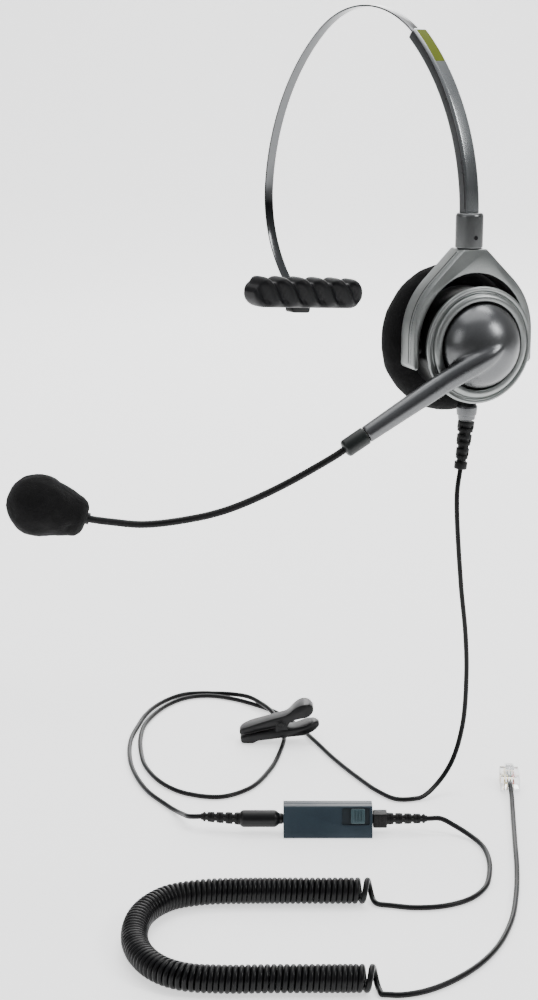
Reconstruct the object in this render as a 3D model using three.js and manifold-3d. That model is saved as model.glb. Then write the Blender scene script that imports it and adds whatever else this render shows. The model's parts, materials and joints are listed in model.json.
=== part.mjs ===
// Office headset: one ear cup on a sprung headband, a microphone boom, and a lead with an in-line
// control box, a curly cord and a modular plug.
//
// Units are millimetres, +Z is up, the wearer faces -Y and the ear cup is on the +X side.
// The origin is at the underside of the headband's crown, where it rests on the head.

import * as THREE from "three";
import { mergeVertices } from "three/addons/utils/BufferGeometryUtils.js";
import Module from "manifold-3d";

const wasm = await Module();
wasm.setup();

// ---------------------------------------------------------------- driving dimensions

const GAP = 0.3; // between pieces that touch
const TABLE_Z = -310; // surface that the cord lies on, below the crown

// Headband: four arcs in the XZ plane, each passing smoothly into the next, through the band's middle.
const BAND_THICK = 0.7;
const BAND_WIDTH = 4.2;
const CROWN_X = 1.7;
const CROWN_R = 47.4;
const CUP_SIDE_R = 88.5;
const CUP_SIDE_DEG = 49; // where the crown passes into the side arcs, measured up from +X
const PAD_SIDE_R = 93;
const PAD_SIDE_DEG = 127.5;
const PAD_ARC_R = 52;
const PAD_ARC_START_DEG = 174;
const PAD_ARC_END_DEG = 229;
const BAND_END_DEG = 27; // end of the band inside the sleeve

// Sleeve that the band slides in, concentric with the side arc.
const SLEEVE_TOP_DEG = 49;
const SLEEVE_FOOT_DEG = 1;
const SLEEVE_THICK = 4.6;
const SLEEVE_WIDTH = 7.2;
const SLEEVE_CHAMFER = 1.0;
const LABEL_TOP_DEG = 48;
const LABEL_END_DEG = 39;
const LABEL_WIDTH = 4.8;
const LABEL_THICK = 0.35;

// Swivel between the sleeve and the yoke.
const SWIVEL_X = 63.4;
const COLLAR_R = 5.3;
const COLLAR_TOP_Z = -76.8;
const COLLAR_FOOT_Z = -90;
const STEM_R = 2.9;

// Ear cup: its axis points outwards, turned a little towards the face.
const CUP_X = 64.5;
const CUP_Z = -126.5;
const CUP_TURN_DEG = -13.9;
const CUSHION_R = 29.6;
const HOUSING_R = 21.2;
const HOUSING_BACK = -7;
const HOUSING_FRONT = 6.6;
const RING_R = 22.7;
const RING_BACK = HOUSING_FRONT + GAP;
const DOME_R = 16.3;
const DOME_BASE = 10.9;
const DOME_TOP = 22.2;
const YOKE_HALF_WIDTH = 25.8;
const YOKE_INNER_HALF = 23.3;
const YOKE_INNER_TOP = 27;
const YOKE_BACK = -7;
const YOKE_FRONT = 4;
const YOKE_FOOT_Z = -7.5;
const PIVOT_X = -1.5;
const PIVOT_R = 1.2;
const STRAIN_LEAN_DEG = -6.5;

// Boom, in the cup's own frame: X outwards, Y to the back of the head, Z up.
const BOOM_ROOT = [17.6, 0, -0.6];
const BOOM_TIP = [10, -57.6, -35.6];
const BOOM_ROOT_R = 4.4;
const BOOM_TIP_R = 3.2;
const BOOM_TUBE_SHARE = 0.85; // the rest of the boom's length is the dark end sleeve

const GOOSENECK_R = 1.4;
const FLEX_AT = [41, -99.8, -183.2]; // middle of the gooseneck, where it is bent by hand
const FOAM_R = 11.6;
const FOAM_NECK_R = 7.6;
const FOAM_LENGTH = 30.6;

const PAD_LENGTH = 58.8;
const PAD_HEIGHT = 12.6;
const PAD_ROLL_DEG = -5.5;

const CORD_R = 1.0;
const COIL_R = 4.7;

// Control box, plug and cord exits lie along one axis on the table.
const BOX_ANGLE_DEG = 52.8;
const BOX_LENGTH = 34.2;
const BOX_HEIGHT = 11.5;
const BOX_BACK = 5;
const BOX_FRONT_FOOT = -5;
const BOX_FRONT_TOP = -0.8;
const BOX_WALL = 1.3;
const BOX_AXIS_Y = 1;
const BOX_AXIS_Z = 5.7;
const SCREW_X = 1.5;

// ---------------------------------------------------------------- materials

const paint = (color, roughness, metalness) =>
  new THREE.MeshStandardMaterial({ color, roughness, metalness });
const SILVER = paint(0xa9adab, 0.45, 0.6);
const GUNMETAL = paint(0x7d8180, 0.35, 0.7);
const STEEL = paint(0xc4c6c8, 0.15, 1.0);
const LIME = paint(0xa3aa4c, 0.5, 0.0);
const BLACK_PLASTIC = paint(0x17181a, 0.45, 0.0);
const BLACK_RUBBER = paint(0x121314, 0.75, 0.0);
const FOAM = paint(0x0c0c0d, 0.95, 0.0);
const CORD = paint(0x101112, 0.35, 0.0);
const SLATE = paint(0x2e3d4a, 0.5, 0.0);
const TEAL = paint(0x4a646c, 0.5, 0.0);
const BOARD = paint(0x1f5a35, 0.5, 0.0);
const BRASS = paint(0xc9a646, 0.3, 1.0);
const CLEAR = paint(0xe8ecee, 0.1, 0.0);

// ---------------------------------------------------------------- geometry helpers

const rad = THREE.MathUtils.degToRad;

function solidOf(geometry) {
  const bare = geometry.clone();
  bare.deleteAttribute("normal");
  bare.deleteAttribute("uv");
  const merged = mergeVertices(bare, 1e-3);
  const vertProperties = new Float32Array(merged.attributes.position.array);
  const triVerts = new Uint32Array(merged.index.array);
  const solid = new wasm.Manifold(new wasm.Mesh({ numProp: 3, vertProperties, triVerts }));
  if (solid.volume() >= 0) {
    return solid;
  }
  for (let i = 0; i < triVerts.length; i += 3) {
    [triVerts[i], triVerts[i + 1]] = [triVerts[i + 1], triVerts[i]];
  }
  return new wasm.Manifold(new wasm.Mesh({ numProp: 3, vertProperties, triVerts }));
}

function geometryOf(solid) {
  const mesh = solid.getMesh();
  const geometry = new THREE.BufferGeometry();
  geometry.setAttribute("position", new THREE.BufferAttribute(mesh.vertProperties, 3));
  geometry.setIndex(new THREE.BufferAttribute(mesh.triVerts, 1));
  return geometry;
}

// First geometry with the others taken away.
function cut(geometry, ...tools) {
  return geometryOf(tools.reduce((solid, tool) => solid.subtract(solidOf(tool)), solidOf(geometry)));
}

function join(geometry, ...others) {
  return geometryOf(others.reduce((solid, other) => solid.add(solidOf(other)), solidOf(geometry)));
}

function common(a, b) {
  return geometryOf(solidOf(a).intersect(solidOf(b)));
}

// Box from one corner to the opposite one.
function box(x0, y0, z0, x1, y1, z1) {
  const geometry = new THREE.BoxGeometry(x1 - x0, y1 - y0, z1 - z0);
  return geometry.translate((x0 + x1) / 2, (y0 + y1) / 2, (z0 + z1) / 2);
}

// Solid of revolution about Z from [radius, height] pairs.
function lathe(profile, segments = 32) {
  const points = profile.map(([r, h]) => new THREE.Vector2(r, h));
  const closed = profile[0][0] === 0 ? points : [...points, points[0].clone()];
  return geometryOf(solidOf(new THREE.LatheGeometry(closed, segments).rotateX(Math.PI / 2)));
}

const aboutX = (geometry) => geometry.rotateY(Math.PI / 2);
const aboutY = (geometry) => geometry.rotateX(-Math.PI / 2);

function rod(radius, from, to, segments = 20) {
  return lathe([[0, from], [radius, from], [radius, to], [0, to]], segments);
}

function sleeveRing(inner, outer, from, to, segments = 32) {
  return lathe([[inner, from], [outer, from], [outer, to], [inner, to]], segments);
}

// Outline in the XZ plane, extruded by width along Y about the middle.
function plateXZ(shape, width, chamfer = 0, curveSegments = 24) {
  const geometry = new THREE.ExtrudeGeometry(shape, {
    depth: width - 2 * chamfer,
    bevelEnabled: chamfer > 0,
    bevelThickness: chamfer,
    bevelSize: chamfer,
    bevelOffset: -chamfer,
    bevelSegments: 1,
    curveSegments,
  });
  return geometry.rotateX(Math.PI / 2).translate(0, width / 2 - chamfer, 0);
}

function polygon(points) {
  return new THREE.Shape(points.map(([x, y]) => new THREE.Vector2(x, y)));
}

// Round tube along a smooth curve through points.
function tube(points, radius, steps, sides = 8) {
  const path = new THREE.CatmullRomCurve3(points.map((p) => new THREE.Vector3(...p)), false, "centripetal");
  const section = polygon(
    Array.from({ length: sides }, (_, i) => {
      const angle = (2 * Math.PI * i) / sides;
      return [radius * Math.cos(angle), radius * Math.sin(angle)];
    }),
  );
  return new THREE.ExtrudeGeometry(section, { extrudePath: path, steps, bevelEnabled: false });
}

// Turns a geometry made about Z so that it runs from one point towards another.
function along(geometry, from, to) {
  const direction = new THREE.Vector3(...to).sub(new THREE.Vector3(...from)).normalize();
  const turn = new THREE.Quaternion().setFromUnitVectors(new THREE.Vector3(0, 0, 1), direction);
  return geometry.applyQuaternion(turn).translate(...from);
}

function mesh(name, geometry, material) {
  const part = new THREE.Mesh(geometry, material);
  part.name = name;
  return part;
}

function distance(a, b) {
  return Math.hypot(...a.map((v, i) => v - b[i]));
}

function between(a, b, share) {
  return a.map((v, i) => v + (b[i] - v) * share);
}

// ---------------------------------------------------------------- headband

// Point at an angle on a circle, angles measured up from +X.
function onCircle([cx, cz, r], degrees) {
  return [cx + r * Math.cos(rad(degrees)), cz + r * Math.sin(rad(degrees))];
}

// Circle of another radius that touches a circle at an angle and bends the same way.
function tangentCircle([cx, cz, r], degrees, radius) {
  const [x, z] = onCircle([cx, cz, r - radius], degrees);
  return [x, z, radius];
}

const CROWN = [CROWN_X, -CROWN_R, CROWN_R];
const CUP_SIDE = tangentCircle(CROWN, CUP_SIDE_DEG, CUP_SIDE_R);
const PAD_SIDE = tangentCircle(CROWN, PAD_SIDE_DEG, PAD_SIDE_R);
const PAD_ARC = tangentCircle(PAD_SIDE, PAD_ARC_START_DEG, PAD_ARC_R);

// Curved strip along the sleeve's arc, between two angles.
function sideStrip(thick, width, fromDeg, toDeg, offset = 0, chamfer = 0) {
  const [cx, cz, r] = CUP_SIDE;
  const shape = new THREE.Shape();
  shape.absarc(cx, cz, r + offset + thick / 2, rad(fromDeg), rad(toDeg), false);
  shape.absarc(cx, cz, r + offset - thick / 2, rad(toDeg), rad(fromDeg), true);
  return plateXZ(shape, width, chamfer, 10);
}

function bandOutline() {
  const half = BAND_THICK / 2;
  const arcs = [
    [CUP_SIDE, BAND_END_DEG, CUP_SIDE_DEG],
    [CROWN, CUP_SIDE_DEG, PAD_SIDE_DEG],
    [PAD_SIDE, PAD_SIDE_DEG, PAD_ARC_START_DEG],
    [PAD_ARC, PAD_ARC_START_DEG, PAD_ARC_END_DEG],
  ];
  const shape = new THREE.Shape();
  for (const [[cx, cz, r], from, to] of arcs) {
    shape.absarc(cx, cz, r + half, rad(from), rad(to), false);
  }
  for (const [[cx, cz, r], from, to] of arcs.toReversed()) {
    shape.absarc(cx, cz, r - half, rad(to), rad(from), true);
  }
  return shape;
}

const [PIN_X, PIN_Z] = onCircle(PAD_ARC, PAD_ARC_END_DEG + 1.6);
const EYE_R = 1.7;
const EYE_HOLE_R = 1.0;

function headbandSpring() {
  const strip = plateXZ(bandOutline(), BAND_WIDTH, 0, 10);
  const eye = aboutY(rod(EYE_R, -BAND_WIDTH / 2, BAND_WIDTH / 2)).translate(PIN_X, 0, PIN_Z);
  const hole = aboutY(rod(EYE_HOLE_R, -BAND_WIDTH, BAND_WIDTH)).translate(PIN_X, 0, PIN_Z);
  return cut(join(strip, eye), hole, atBandEnd(rod(1.0, -3, 3, 12)));
}

// Places a piece made about Z across the band, near the end that slides in the sleeve.
function atBandEnd(geometry) {
  const [x, z] = onCircle(CUP_SIDE, BAND_END_DEG + 2);
  return geometry.rotateY(rad(90 - BAND_END_DEG - 2)).translate(x, 0, z);
}

function bandStop() {
  const head = 1.5;
  const shank = 0.7;
  const inner = BAND_THICK / 2 + GAP;
  const outer = inner + 0.4;
  const profile = [[0, -outer], [head, -outer], [head, -inner], [shank, -inner]];
  const mirrored = profile.toReversed().map(([r, h]) => [r, -h]);
  return atBandEnd(lathe([...profile, ...mirrored], 16));
}

function headbandSleeve() {
  const body = sideStrip(SLEEVE_THICK, SLEEVE_WIDTH, SLEEVE_FOOT_DEG, SLEEVE_TOP_DEG, 0, SLEEVE_CHAMFER);
  const mouth = sideStrip(BAND_THICK + 2 * GAP, BAND_WIDTH + 2 * GAP, 30, SLEEVE_TOP_DEG + 3);
  const pocket = sideStrip(2.4, BAND_WIDTH + 2 * GAP, 8, 44.5);
  const surface = SLEEVE_THICK / 2;
  const recess = sideStrip(1.1, LABEL_WIDTH + 2 * GAP, LABEL_END_DEG - 0.2, LABEL_TOP_DEG + 0.2, surface);
  const aboveCollar = box(0, -9, COLLAR_TOP_Z + GAP, 100, 9, 10);
  return common(cut(body, mouth, pocket, recess), aboveCollar);
}

function colourLabel() {
  return sideStrip(LABEL_THICK, LABEL_WIDTH, LABEL_END_DEG, LABEL_TOP_DEG, SLEEVE_THICK / 2 - 0.05);
}

function collar() {
  const body = lathe([
    [0, COLLAR_FOOT_Z],
    [COLLAR_R - 0.4, COLLAR_FOOT_Z],
    [COLLAR_R, COLLAR_FOOT_Z + 0.4],
    [COLLAR_R, COLLAR_TOP_Z - 0.6],
    [COLLAR_R - 0.6, COLLAR_TOP_Z],
    [0, COLLAR_TOP_Z],
  ]);
  const bore = rod(STEM_R + GAP, COLLAR_FOOT_Z - 1, COLLAR_TOP_Z - 3.2);
  return cut(body, bore, setScrew(1.2, 1, 8)).translate(SWIVEL_X, 0, 0);
}

const SCREW_Z = COLLAR_FOOT_Z + 4;

function setScrew(radius, from, to) {
  return aboutX(rod(radius, from, to, 12)).rotateZ(rad(CUP_TURN_DEG)).translate(0, 0, SCREW_Z);
}

function headband() {
  const group = new THREE.Group();
  const screw = setScrew(0.9, STEM_R, COLLAR_R - 0.3).translate(SWIVEL_X, 0, 0);
  group.add(
    mesh("headband_spring", headbandSpring(), STEEL),
    mesh("band_stop", bandStop(), BRASS),
    mesh("headband_sleeve", headbandSleeve(), SILVER),
    mesh("colour_label", colourLabel(), LIME),
    mesh("collar", collar(), SILVER),
    mesh("collar_screw", screw, BLACK_PLASTIC),
  );
  return group;
}

// ---------------------------------------------------------------- temple pad

const PAD_FACE_X = 10.4;
const CORE_BACK_X = -2.2;
const CORE_FRONT_X = 3.6;
const PAD_MID_Y = 1.2;
const PAD_MID_Z = 0.8;
const CORE_HALF_LENGTH = 22;
const CORE_HALF_HEIGHT = 4.2;

// Bar with rounded ends along Y, between two planes across X.
function roundBar(halfLength, halfHeight, x0, x1, chamfer) {
  const shape = new THREE.Shape();
  const flat = halfLength - halfHeight;
  shape.absarc(flat, 0, halfHeight, -Math.PI / 2, Math.PI / 2, false);
  shape.absarc(-flat, 0, halfHeight, Math.PI / 2, (3 * Math.PI) / 2, false);
  const geometry = plateXZ(shape, x1 - x0, chamfer, 8).rotateZ(Math.PI / 2);
  return geometry.translate((x0 + x1) / 2, PAD_MID_Y, PAD_MID_Z);
}

// The pad is made about its pin, which lies along Y, and hangs a little rolled.
function templePadCore() {
  const bar = roundBar(CORE_HALF_LENGTH, CORE_HALF_HEIGHT, CORE_BACK_X, CORE_FRONT_X, 0);
  const lug = box(0, PAD_MID_Y - 4.9, PAD_MID_Z - 8.8, CORE_FRONT_X, PAD_MID_Y + 4.9, PAD_MID_Z - 3.6);
  const room = BAND_WIDTH / 2 + 0.6;
  const slot = box(CORE_BACK_X - 1, -room, -2.3, 2.3, room, PAD_MID_Z + 6);
  const hole = aboutY(rod(0.9, -7.3, 7.3, 12));
  return cut(join(bar, lug), slot, hole);
}

function templePadGrip() {
  const skin = roundBar(PAD_LENGTH / 2, PAD_HEIGHT / 2, CORE_BACK_X + 0.6, PAD_FACE_X, 2.4);
  const pocket = roundBar(
    CORE_HALF_LENGTH + GAP, CORE_HALF_HEIGHT + GAP, CORE_BACK_X - 1, CORE_FRONT_X + GAP, 0,
  );
  const lugRoom = CORE_FRONT_X + GAP;
  const lugNotch = box(-GAP, PAD_MID_Y - 5.2, PAD_MID_Z - 11, lugRoom, PAD_MID_Y + 5.2, PAD_MID_Z - 3);
  const bandNotch = box(CORE_BACK_X - 1, -3.2, PAD_MID_Z, 2.6, 3.2, PAD_MID_Z + 9);
  return cut(skin, pocket, lugNotch, bandNotch);
}

function templePad() {
  const group = new THREE.Group();
  group.position.set(PIN_X, 0, PIN_Z);
  group.rotation.x = rad(PAD_ROLL_DEG);
  group.add(
    mesh("temple_pad_core", templePadCore(), BLACK_PLASTIC),
    mesh("temple_pad_grip", templePadGrip(), BLACK_RUBBER),
    mesh("temple_pad_pin", aboutY(rod(0.6, -7, 7, 12)), STEEL),
  );
  return group;
}

// ---------------------------------------------------------------- ear cup

// Fork that stands over the cup: flat on top under the collar, shoulders that slope at about
// 45 degrees, and two straight arms with rounded ends.
function yokeOutline() {
  const apexY = COLLAR_R - 0.5;
  const apexZ = COLLAR_FOOT_Z - GAP - CUP_Z;
  const armR = (YOKE_HALF_WIDTH - YOKE_INNER_HALF) / 2;
  const armY = YOKE_INNER_HALF + armR;
  const shape = new THREE.Shape();
  shape.moveTo(apexY, apexZ);
  shape.lineTo(-apexY, apexZ);
  shape.lineTo(-17, 24.2);
  shape.quadraticCurveTo(-25.6, 15.6, -YOKE_HALF_WIDTH, 3);
  shape.lineTo(-YOKE_HALF_WIDTH, YOKE_FOOT_Z);
  shape.absarc(-armY, YOKE_FOOT_Z, armR, Math.PI, 2 * Math.PI, false);
  shape.lineTo(-YOKE_INNER_HALF, 0);
  shape.absellipse(0, 0, YOKE_INNER_HALF, YOKE_INNER_TOP, Math.PI, 0, true, 0);
  shape.lineTo(YOKE_INNER_HALF, YOKE_FOOT_Z);
  shape.absarc(armY, YOKE_FOOT_Z, armR, Math.PI, 2 * Math.PI, false);
  shape.lineTo(YOKE_HALF_WIDTH, 3);
  shape.quadraticCurveTo(25.6, 15.6, 17, 24.2);
  return shape;
}

function yokePlate() {
  const edge = 0.5;
  const plate = new THREE.ExtrudeGeometry(yokeOutline(), {
    depth: YOKE_FRONT - YOKE_BACK - 2 * edge,
    bevelEnabled: true,
    bevelThickness: edge,
    bevelSize: edge,
    bevelOffset: -edge,
    bevelSegments: 1,
    curveSegments: 10,
  });
  plate.rotateX(Math.PI / 2).rotateZ(Math.PI / 2).translate(YOKE_BACK + edge, 0, 0);
  const sockets = [-1, 1].map((side) =>
    onPivot(rod(PIVOT_R + GAP, YOKE_INNER_HALF - 1, YOKE_HALF_WIDTH - 0.7, 16), side),
  );
  return cut(plate, ...sockets);
}

// Turns a piece made about Z to lie on the axis the cup tilts about, on one side of the cup.
function onPivot(geometry, side) {
  const placed = aboutY(geometry).translate(PIVOT_X, 0, 0).scale(1, side, 1);
  return geometryOf(solidOf(placed));
}

function swivelStem() {
  const foot = COLLAR_FOOT_Z;
  const top = COLLAR_TOP_Z - 3.2 - GAP;
  const profile = [[0, foot], [STEM_R, foot], [STEM_R, SCREW_Z - 1.3], [2.3, SCREW_Z - 1.3]];
  profile.push([2.3, SCREW_Z + 1.3], [STEM_R, SCREW_Z + 1.3], [STEM_R, top], [0, top]);
  return lathe(profile, 20).translate(SWIVEL_X, 0, 0);
}

function cupHousing() {
  const floor = HOUSING_FRONT - 1.8;
  const wall = HOUSING_R - 1.8;
  const drum = lathe([
    [2.6, floor], [wall, floor], [wall, HOUSING_BACK], [HOUSING_R, HOUSING_BACK],
    [HOUSING_R, HOUSING_FRONT], [2.6, HOUSING_FRONT],
  ], 32);
  const boss = rod(3.4, HOUSING_R - 1.2, YOKE_INNER_HALF - GAP - 0.2);
  const socket = rod(PIVOT_R + GAP, HOUSING_R - 0.9, HOUSING_R + 4, 16);
  const bosses = [-1, 1].map((side) => onPivot(boss.clone(), side));
  const sockets = [-1, 1].map((side) => onPivot(socket.clone(), side));
  const cordHole = rod(1.6, -HOUSING_R - 3, -HOUSING_R + 4, 16);
  return cut(join(aboutX(drum), ...bosses), ...sockets, cordHole);
}

function bezelRing() {
  const steps = [
    [16.9, 0], [RING_R, 0], [RING_R, 1.9], [22.2, 2.4], [20.9, 2.5], [20.5, 2.1],
    [20.1, 2.2], [19.9, 3.4], [19.3, 3.9], [17.5, 3.9], [16.9, 3.5],
  ];
  return aboutX(lathe(steps.map(([r, h]) => [r, RING_BACK + h]), 32));
}

// Profile of a cap of a sphere, from its rim to its top on the axis.
function capProfile(radius, base, top) {
  const steps = 6;
  const rise = top - base;
  const sphere = (radius * radius + rise * rise) / (2 * rise);
  const spread = Math.asin(radius / sphere);
  return Array.from({ length: steps + 1 }, (_, i) => {
    const angle = spread * (1 - i / steps);
    return [i === steps ? 0 : sphere * Math.sin(angle), top - sphere + sphere * Math.cos(angle)];
  });
}

// Cap of a sphere that stands on a straight skirt, hollow behind.
function hubDome() {
  const wall = 1.7;
  const back = RING_BACK + 0.7;
  const outside = [[0, back], [DOME_R, back], ...capProfile(DOME_R, DOME_BASE, DOME_TOP)];
  const hollow = [
    [0, back - 1], [DOME_R - wall, back - 1], ...capProfile(DOME_R - wall, DOME_BASE, DOME_TOP - wall),
  ];
  const boss = sleeveRing(2.5, 5, back + 0.2, back + 4.4, 20);
  const web = sleeveRing(4.6, DOME_R - 0.6, back + 2.4, back + 3.6, 28);
  return aboutX(join(cut(lathe(outside, 28), lathe(hollow, 28)), boss, web));
}

function boomAxis(share) {
  return between(BOOM_ROOT, BOOM_TIP, share);
}

function boomTube() {
  const length = distance(BOOM_ROOT, BOOM_TIP);
  const end = length * BOOM_TUBE_SHARE;
  const tip = BOOM_TIP_R + 0.15;
  const bore = 1.7;
  const body = lathe([[0, 2], [BOOM_ROOT_R, 2], [tip, end], [0, end]], 24);
  const hollow = rod(bore, 10, end + 2, 12);
  const wireHole = rod(1.2, -1, 12, 8);
  const envelope = [[0, DOME_BASE - 4], [DOME_R + GAP, DOME_BASE - 4]];
  envelope.push(...capProfile(DOME_R + GAP, DOME_BASE, DOME_TOP + GAP));
  return cut(along(cut(body, hollow, wireHole), BOOM_ROOT, BOOM_TIP), aboutX(lathe(envelope, 28)));
}

function boomEndSleeve() {
  const length = distance(BOOM_ROOT, BOOM_TIP);
  const start = length * BOOM_TUBE_SHARE + GAP;
  const body = lathe([
    [0, start], [BOOM_TIP_R + 0.35, start], [BOOM_TIP_R + 0.3, length - 0.8],
    [BOOM_TIP_R - 0.4, length], [0, length],
  ], 24);
  const bore = rod(GOOSENECK_R + GAP, start - 1, length + 1, 12);
  return along(cut(body, bore), BOOM_ROOT, BOOM_TIP);
}

const GLAND_FOOT = -30.4;

function cableGland() {
  return lathe([[1.4, -24], [4.1, -24], [3.3, GLAND_FOOT], [1.4, GLAND_FOOT]], 20);
}

function strainRelief() {
  const top = -0.6;
  const ribs = 6;
  const pitch = 2.7;
  const bore = CORD_R + 0.35;
  const profile = [[bore, top]];
  for (let i = 0; i < ribs; i += 1) {
    const r = 3.3 - 0.19 * i;
    const z = top - i * pitch;
    profile.push([r, z], [r, z - 1.6], [r - 0.6, z - 1.6], [r - 0.6, z - pitch]);
  }
  const foot = top - ribs * pitch;
  profile.push([2.6, foot], [2.6, foot - 3], [bore, foot - 3]);
  return lathe(profile, 12).rotateX(rad(STRAIN_LEAN_DEG)).translate(0, 0, GLAND_FOOT);
}

function earCushion() {
  const rear = HOUSING_BACK - 1.4;
  const section = [
    [0, 0], [21.5, 0], [25.8, -0.8], [28.6, -3.2], [CUSHION_R, -6.8], [28.6, -10.3], [25.6, -13],
    [21, -14.2], [15, -13.6], [9, -11.6], [0, -11.6],
  ];
  return aboutX(lathe(section.map(([r, h]) => [r, rear + h]), 28));
}

function cushionPlate() {
  const disc = rod(HOUSING_R, HOUSING_BACK - 1.1, HOUSING_BACK - GAP, 28);
  const port = (radius) => rod(radius, HOUSING_BACK - 3, HOUSING_BACK + 2, 10);
  const ports = Array.from({ length: 6 }, (_, i) => port(1.5).translate(9, 0, 0).rotateZ((i * Math.PI) / 3));
  return aboutX(cut(disc, ...ports, port(2.2)));
}

function speaker() {
  const frame = cut(
    lathe([[5.4, 0.6], [5.4, -0.6], [13.5, -3.6], [13.5, -5.6], [15.6, -5.6], [15.6, -2.8], [9, 0.6]], 24),
    rod(1.2, -4, 2, 8).translate(8, 0, 0),
  );
  const diaphragm = lathe([[0, -3.4], [5, -3.2], [13.1, -4.8], [13.1, -5.2], [5, -3.6], [0, -3.8]], 24);
  return [
    mesh("speaker_frame", aboutX(frame), BLACK_PLASTIC),
    mesh("speaker_magnet", aboutX(rod(5, -1.5, 2.4, 20)), STEEL),
    mesh("speaker_diaphragm", aboutX(diaphragm), CLEAR),
  ];
}

function hubAxle() {
  const head = HOUSING_FRONT - 3.2;
  const neck = HOUSING_FRONT - 2.1;
  const tip = HOUSING_FRONT + 7;
  return aboutX(lathe([[0, head], [3.6, head], [3.6, neck], [2.2, neck], [2.2, tip], [0, tip]], 20));
}

function hubNut() {
  const seat = HOUSING_FRONT + 5.7;
  return aboutX(cut(rod(4.6, seat, seat + 1.2, 6), rod(2.5, seat - 1, seat + 3)));
}

function earCup() {
  const group = new THREE.Group();
  group.position.set(CUP_X, 0, CUP_Z);
  group.rotation.z = rad(CUP_TURN_DEG);
  const pivot = (side) => onPivot(rod(PIVOT_R, HOUSING_R - 0.6, YOKE_HALF_WIDTH - 1, 16), side);
  group.add(
    mesh("yoke", yokePlate(), SILVER),
    mesh("pivot_pin_front", pivot(-1), STEEL),
    mesh("pivot_pin_rear", pivot(1), STEEL),
    mesh("cup_housing", cupHousing(), BLACK_PLASTIC),
    mesh("bezel_ring", bezelRing(), SILVER),
    mesh("hub_dome", hubDome(), GUNMETAL),
    mesh("hub_axle", hubAxle(), STEEL),
    mesh("hub_washer", aboutX(sleeveRing(2.5, 6.5, RING_BACK, RING_BACK + 0.6, 20)), CLEAR),
    mesh("hub_nut", hubNut(), STEEL),
    mesh("boom_tube", boomTube(), SILVER),
    mesh("boom_end_sleeve", boomEndSleeve(), BLACK_PLASTIC),
    mesh("cable_gland", cableGland(), SILVER),
    mesh("strain_relief", strainRelief(), BLACK_RUBBER),
    mesh("ear_cushion", earCushion(), FOAM),
    mesh("cushion_plate", cushionPlate(), BLACK_PLASTIC),
    ...speaker(),
  );
  return group;
}

// ---------------------------------------------------------------- gooseneck and microphone

// Point on the boom's axis in the object's frame, as a share of the boom's length.
function boomPlace(share) {
  const turn = rad(CUP_TURN_DEG);
  const [x, y, z] = boomAxis(share);
  return [
    CUP_X + x * Math.cos(turn) - y * Math.sin(turn),
    x * Math.sin(turn) + y * Math.cos(turn),
    CUP_Z + z,
  ];
}

// The arm as it is bent in use, from the boom to the microphone.
const GOOSENECK_OUT = [[49, -82, -176], FLEX_AT];
const GOOSENECK_IN = [FLEX_AT, [34, -113.3, -186.1], [27, -126.9, -187.1], [22.5, -137.6, -185.4]];
const MIC_NECK = [19.5, -145.2, -183.7];
const FOAM_HEART = [10.8, -160.2, -178.2];

function gooseneck() {
  const group = new THREE.Group();
  const inSleeve = [0.88, 0.94, 1, 1.06].map(boomPlace);
  const near = [...inSleeve, GOOSENECK_OUT[0], between(FLEX_AT, GOOSENECK_OUT[0], 0.02)];
  const far = [between(FLEX_AT, GOOSENECK_IN[1], 0.03), ...GOOSENECK_IN.slice(1), MIC_NECK];
  group.add(
    mesh("gooseneck_base", tube(near, GOOSENECK_R, 16, 10), BLACK_RUBBER),
    mesh("gooseneck_tip", tube(far, GOOSENECK_R, 16, 10), BLACK_RUBBER),
  );
  return group;
}

function microphone() {
  const group = new THREE.Group();
  const length = FOAM_LENGTH;
  const start = 1.6;
  const heart = length - FOAM_R - 1;
  const foam = [
    [0, start + 1.5], [2.6, start + 1.5], [2.6, start], [4.4, start + 0.2], [FOAM_NECK_R, start + 3],
  ];
  for (let i = 0; i <= 7; i += 1) {
    const angle = rad(-14 + (104 * i) / 7);
    const r = i === 7 ? 0 : FOAM_R * Math.cos(angle);
    foam.push([r, start + heart + FOAM_R * Math.sin(angle)]);
  }
  const windscreen = cut(lathe(foam, 20), rod(3.9, start + 1, start + 15, 16));
  const housing = cut(
    lathe([[0, 0.3], [2.2, 0.3], [2.2, 3.5], [3.5, 4.7], [3.5, 13], [0, 13]], 16),
    rod(2.8, 6, 14, 16),
    rod(0.8, -1, 7, 8),
  );
  const element = rod(2.5, 8, 11.6, 16);
  group.add(
    mesh("mic_windscreen", along(windscreen, MIC_NECK, FOAM_HEART), FOAM),
    mesh("mic_housing", along(housing, MIC_NECK, FOAM_HEART), BLACK_PLASTIC),
    mesh("mic_element", along(element, MIC_NECK, FOAM_HEART), STEEL),
  );
  return group;
}

// ---------------------------------------------------------------- clothing clip

const CLIP_AT = [-18, -26.5];
const CLIP_WIDTH = 8;
const CLIP_PIN_Z = 7.6;
const CLIP_TILT_DEG = -5.5; // its tail stands higher than its jaws

// Places pieces made on the table top, lying along the same line as the control box.
function onTable(x, y, degrees) {
  const group = new THREE.Group();
  group.position.set(x, y, TABLE_Z);
  group.rotation.z = rad(degrees);
  return group;
}

function clipLowerArm() {
  const arm = polygon([
    [-18.2, 0], [-12.5, 0], [-11, 0.8], [3, 1.2], [9, 1.7], [14, 2.9],
    [16.2, 4.2], [16.4, 6], [14.6, 7], [11, 6.2], [6, 5], [-3, 5], [-12, 4.3], [-18.6, 2.9],
  ]);
  const ear = polygon([[-3, 4], [3, 4], [2.2, 8.6], [1, 9.4], [-1, 9.4], [-2.2, 8.6]]);
  const ears = [-1, 1].map((side) => plateXZ(ear, 0.8).translate(0, side * 3.6, 0));
  const hole = aboutY(rod(1.1, -5, 5, 12)).translate(0, 0, CLIP_PIN_Z);
  return cut(join(plateXZ(arm, CLIP_WIDTH), ...ears), hole);
}

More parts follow.
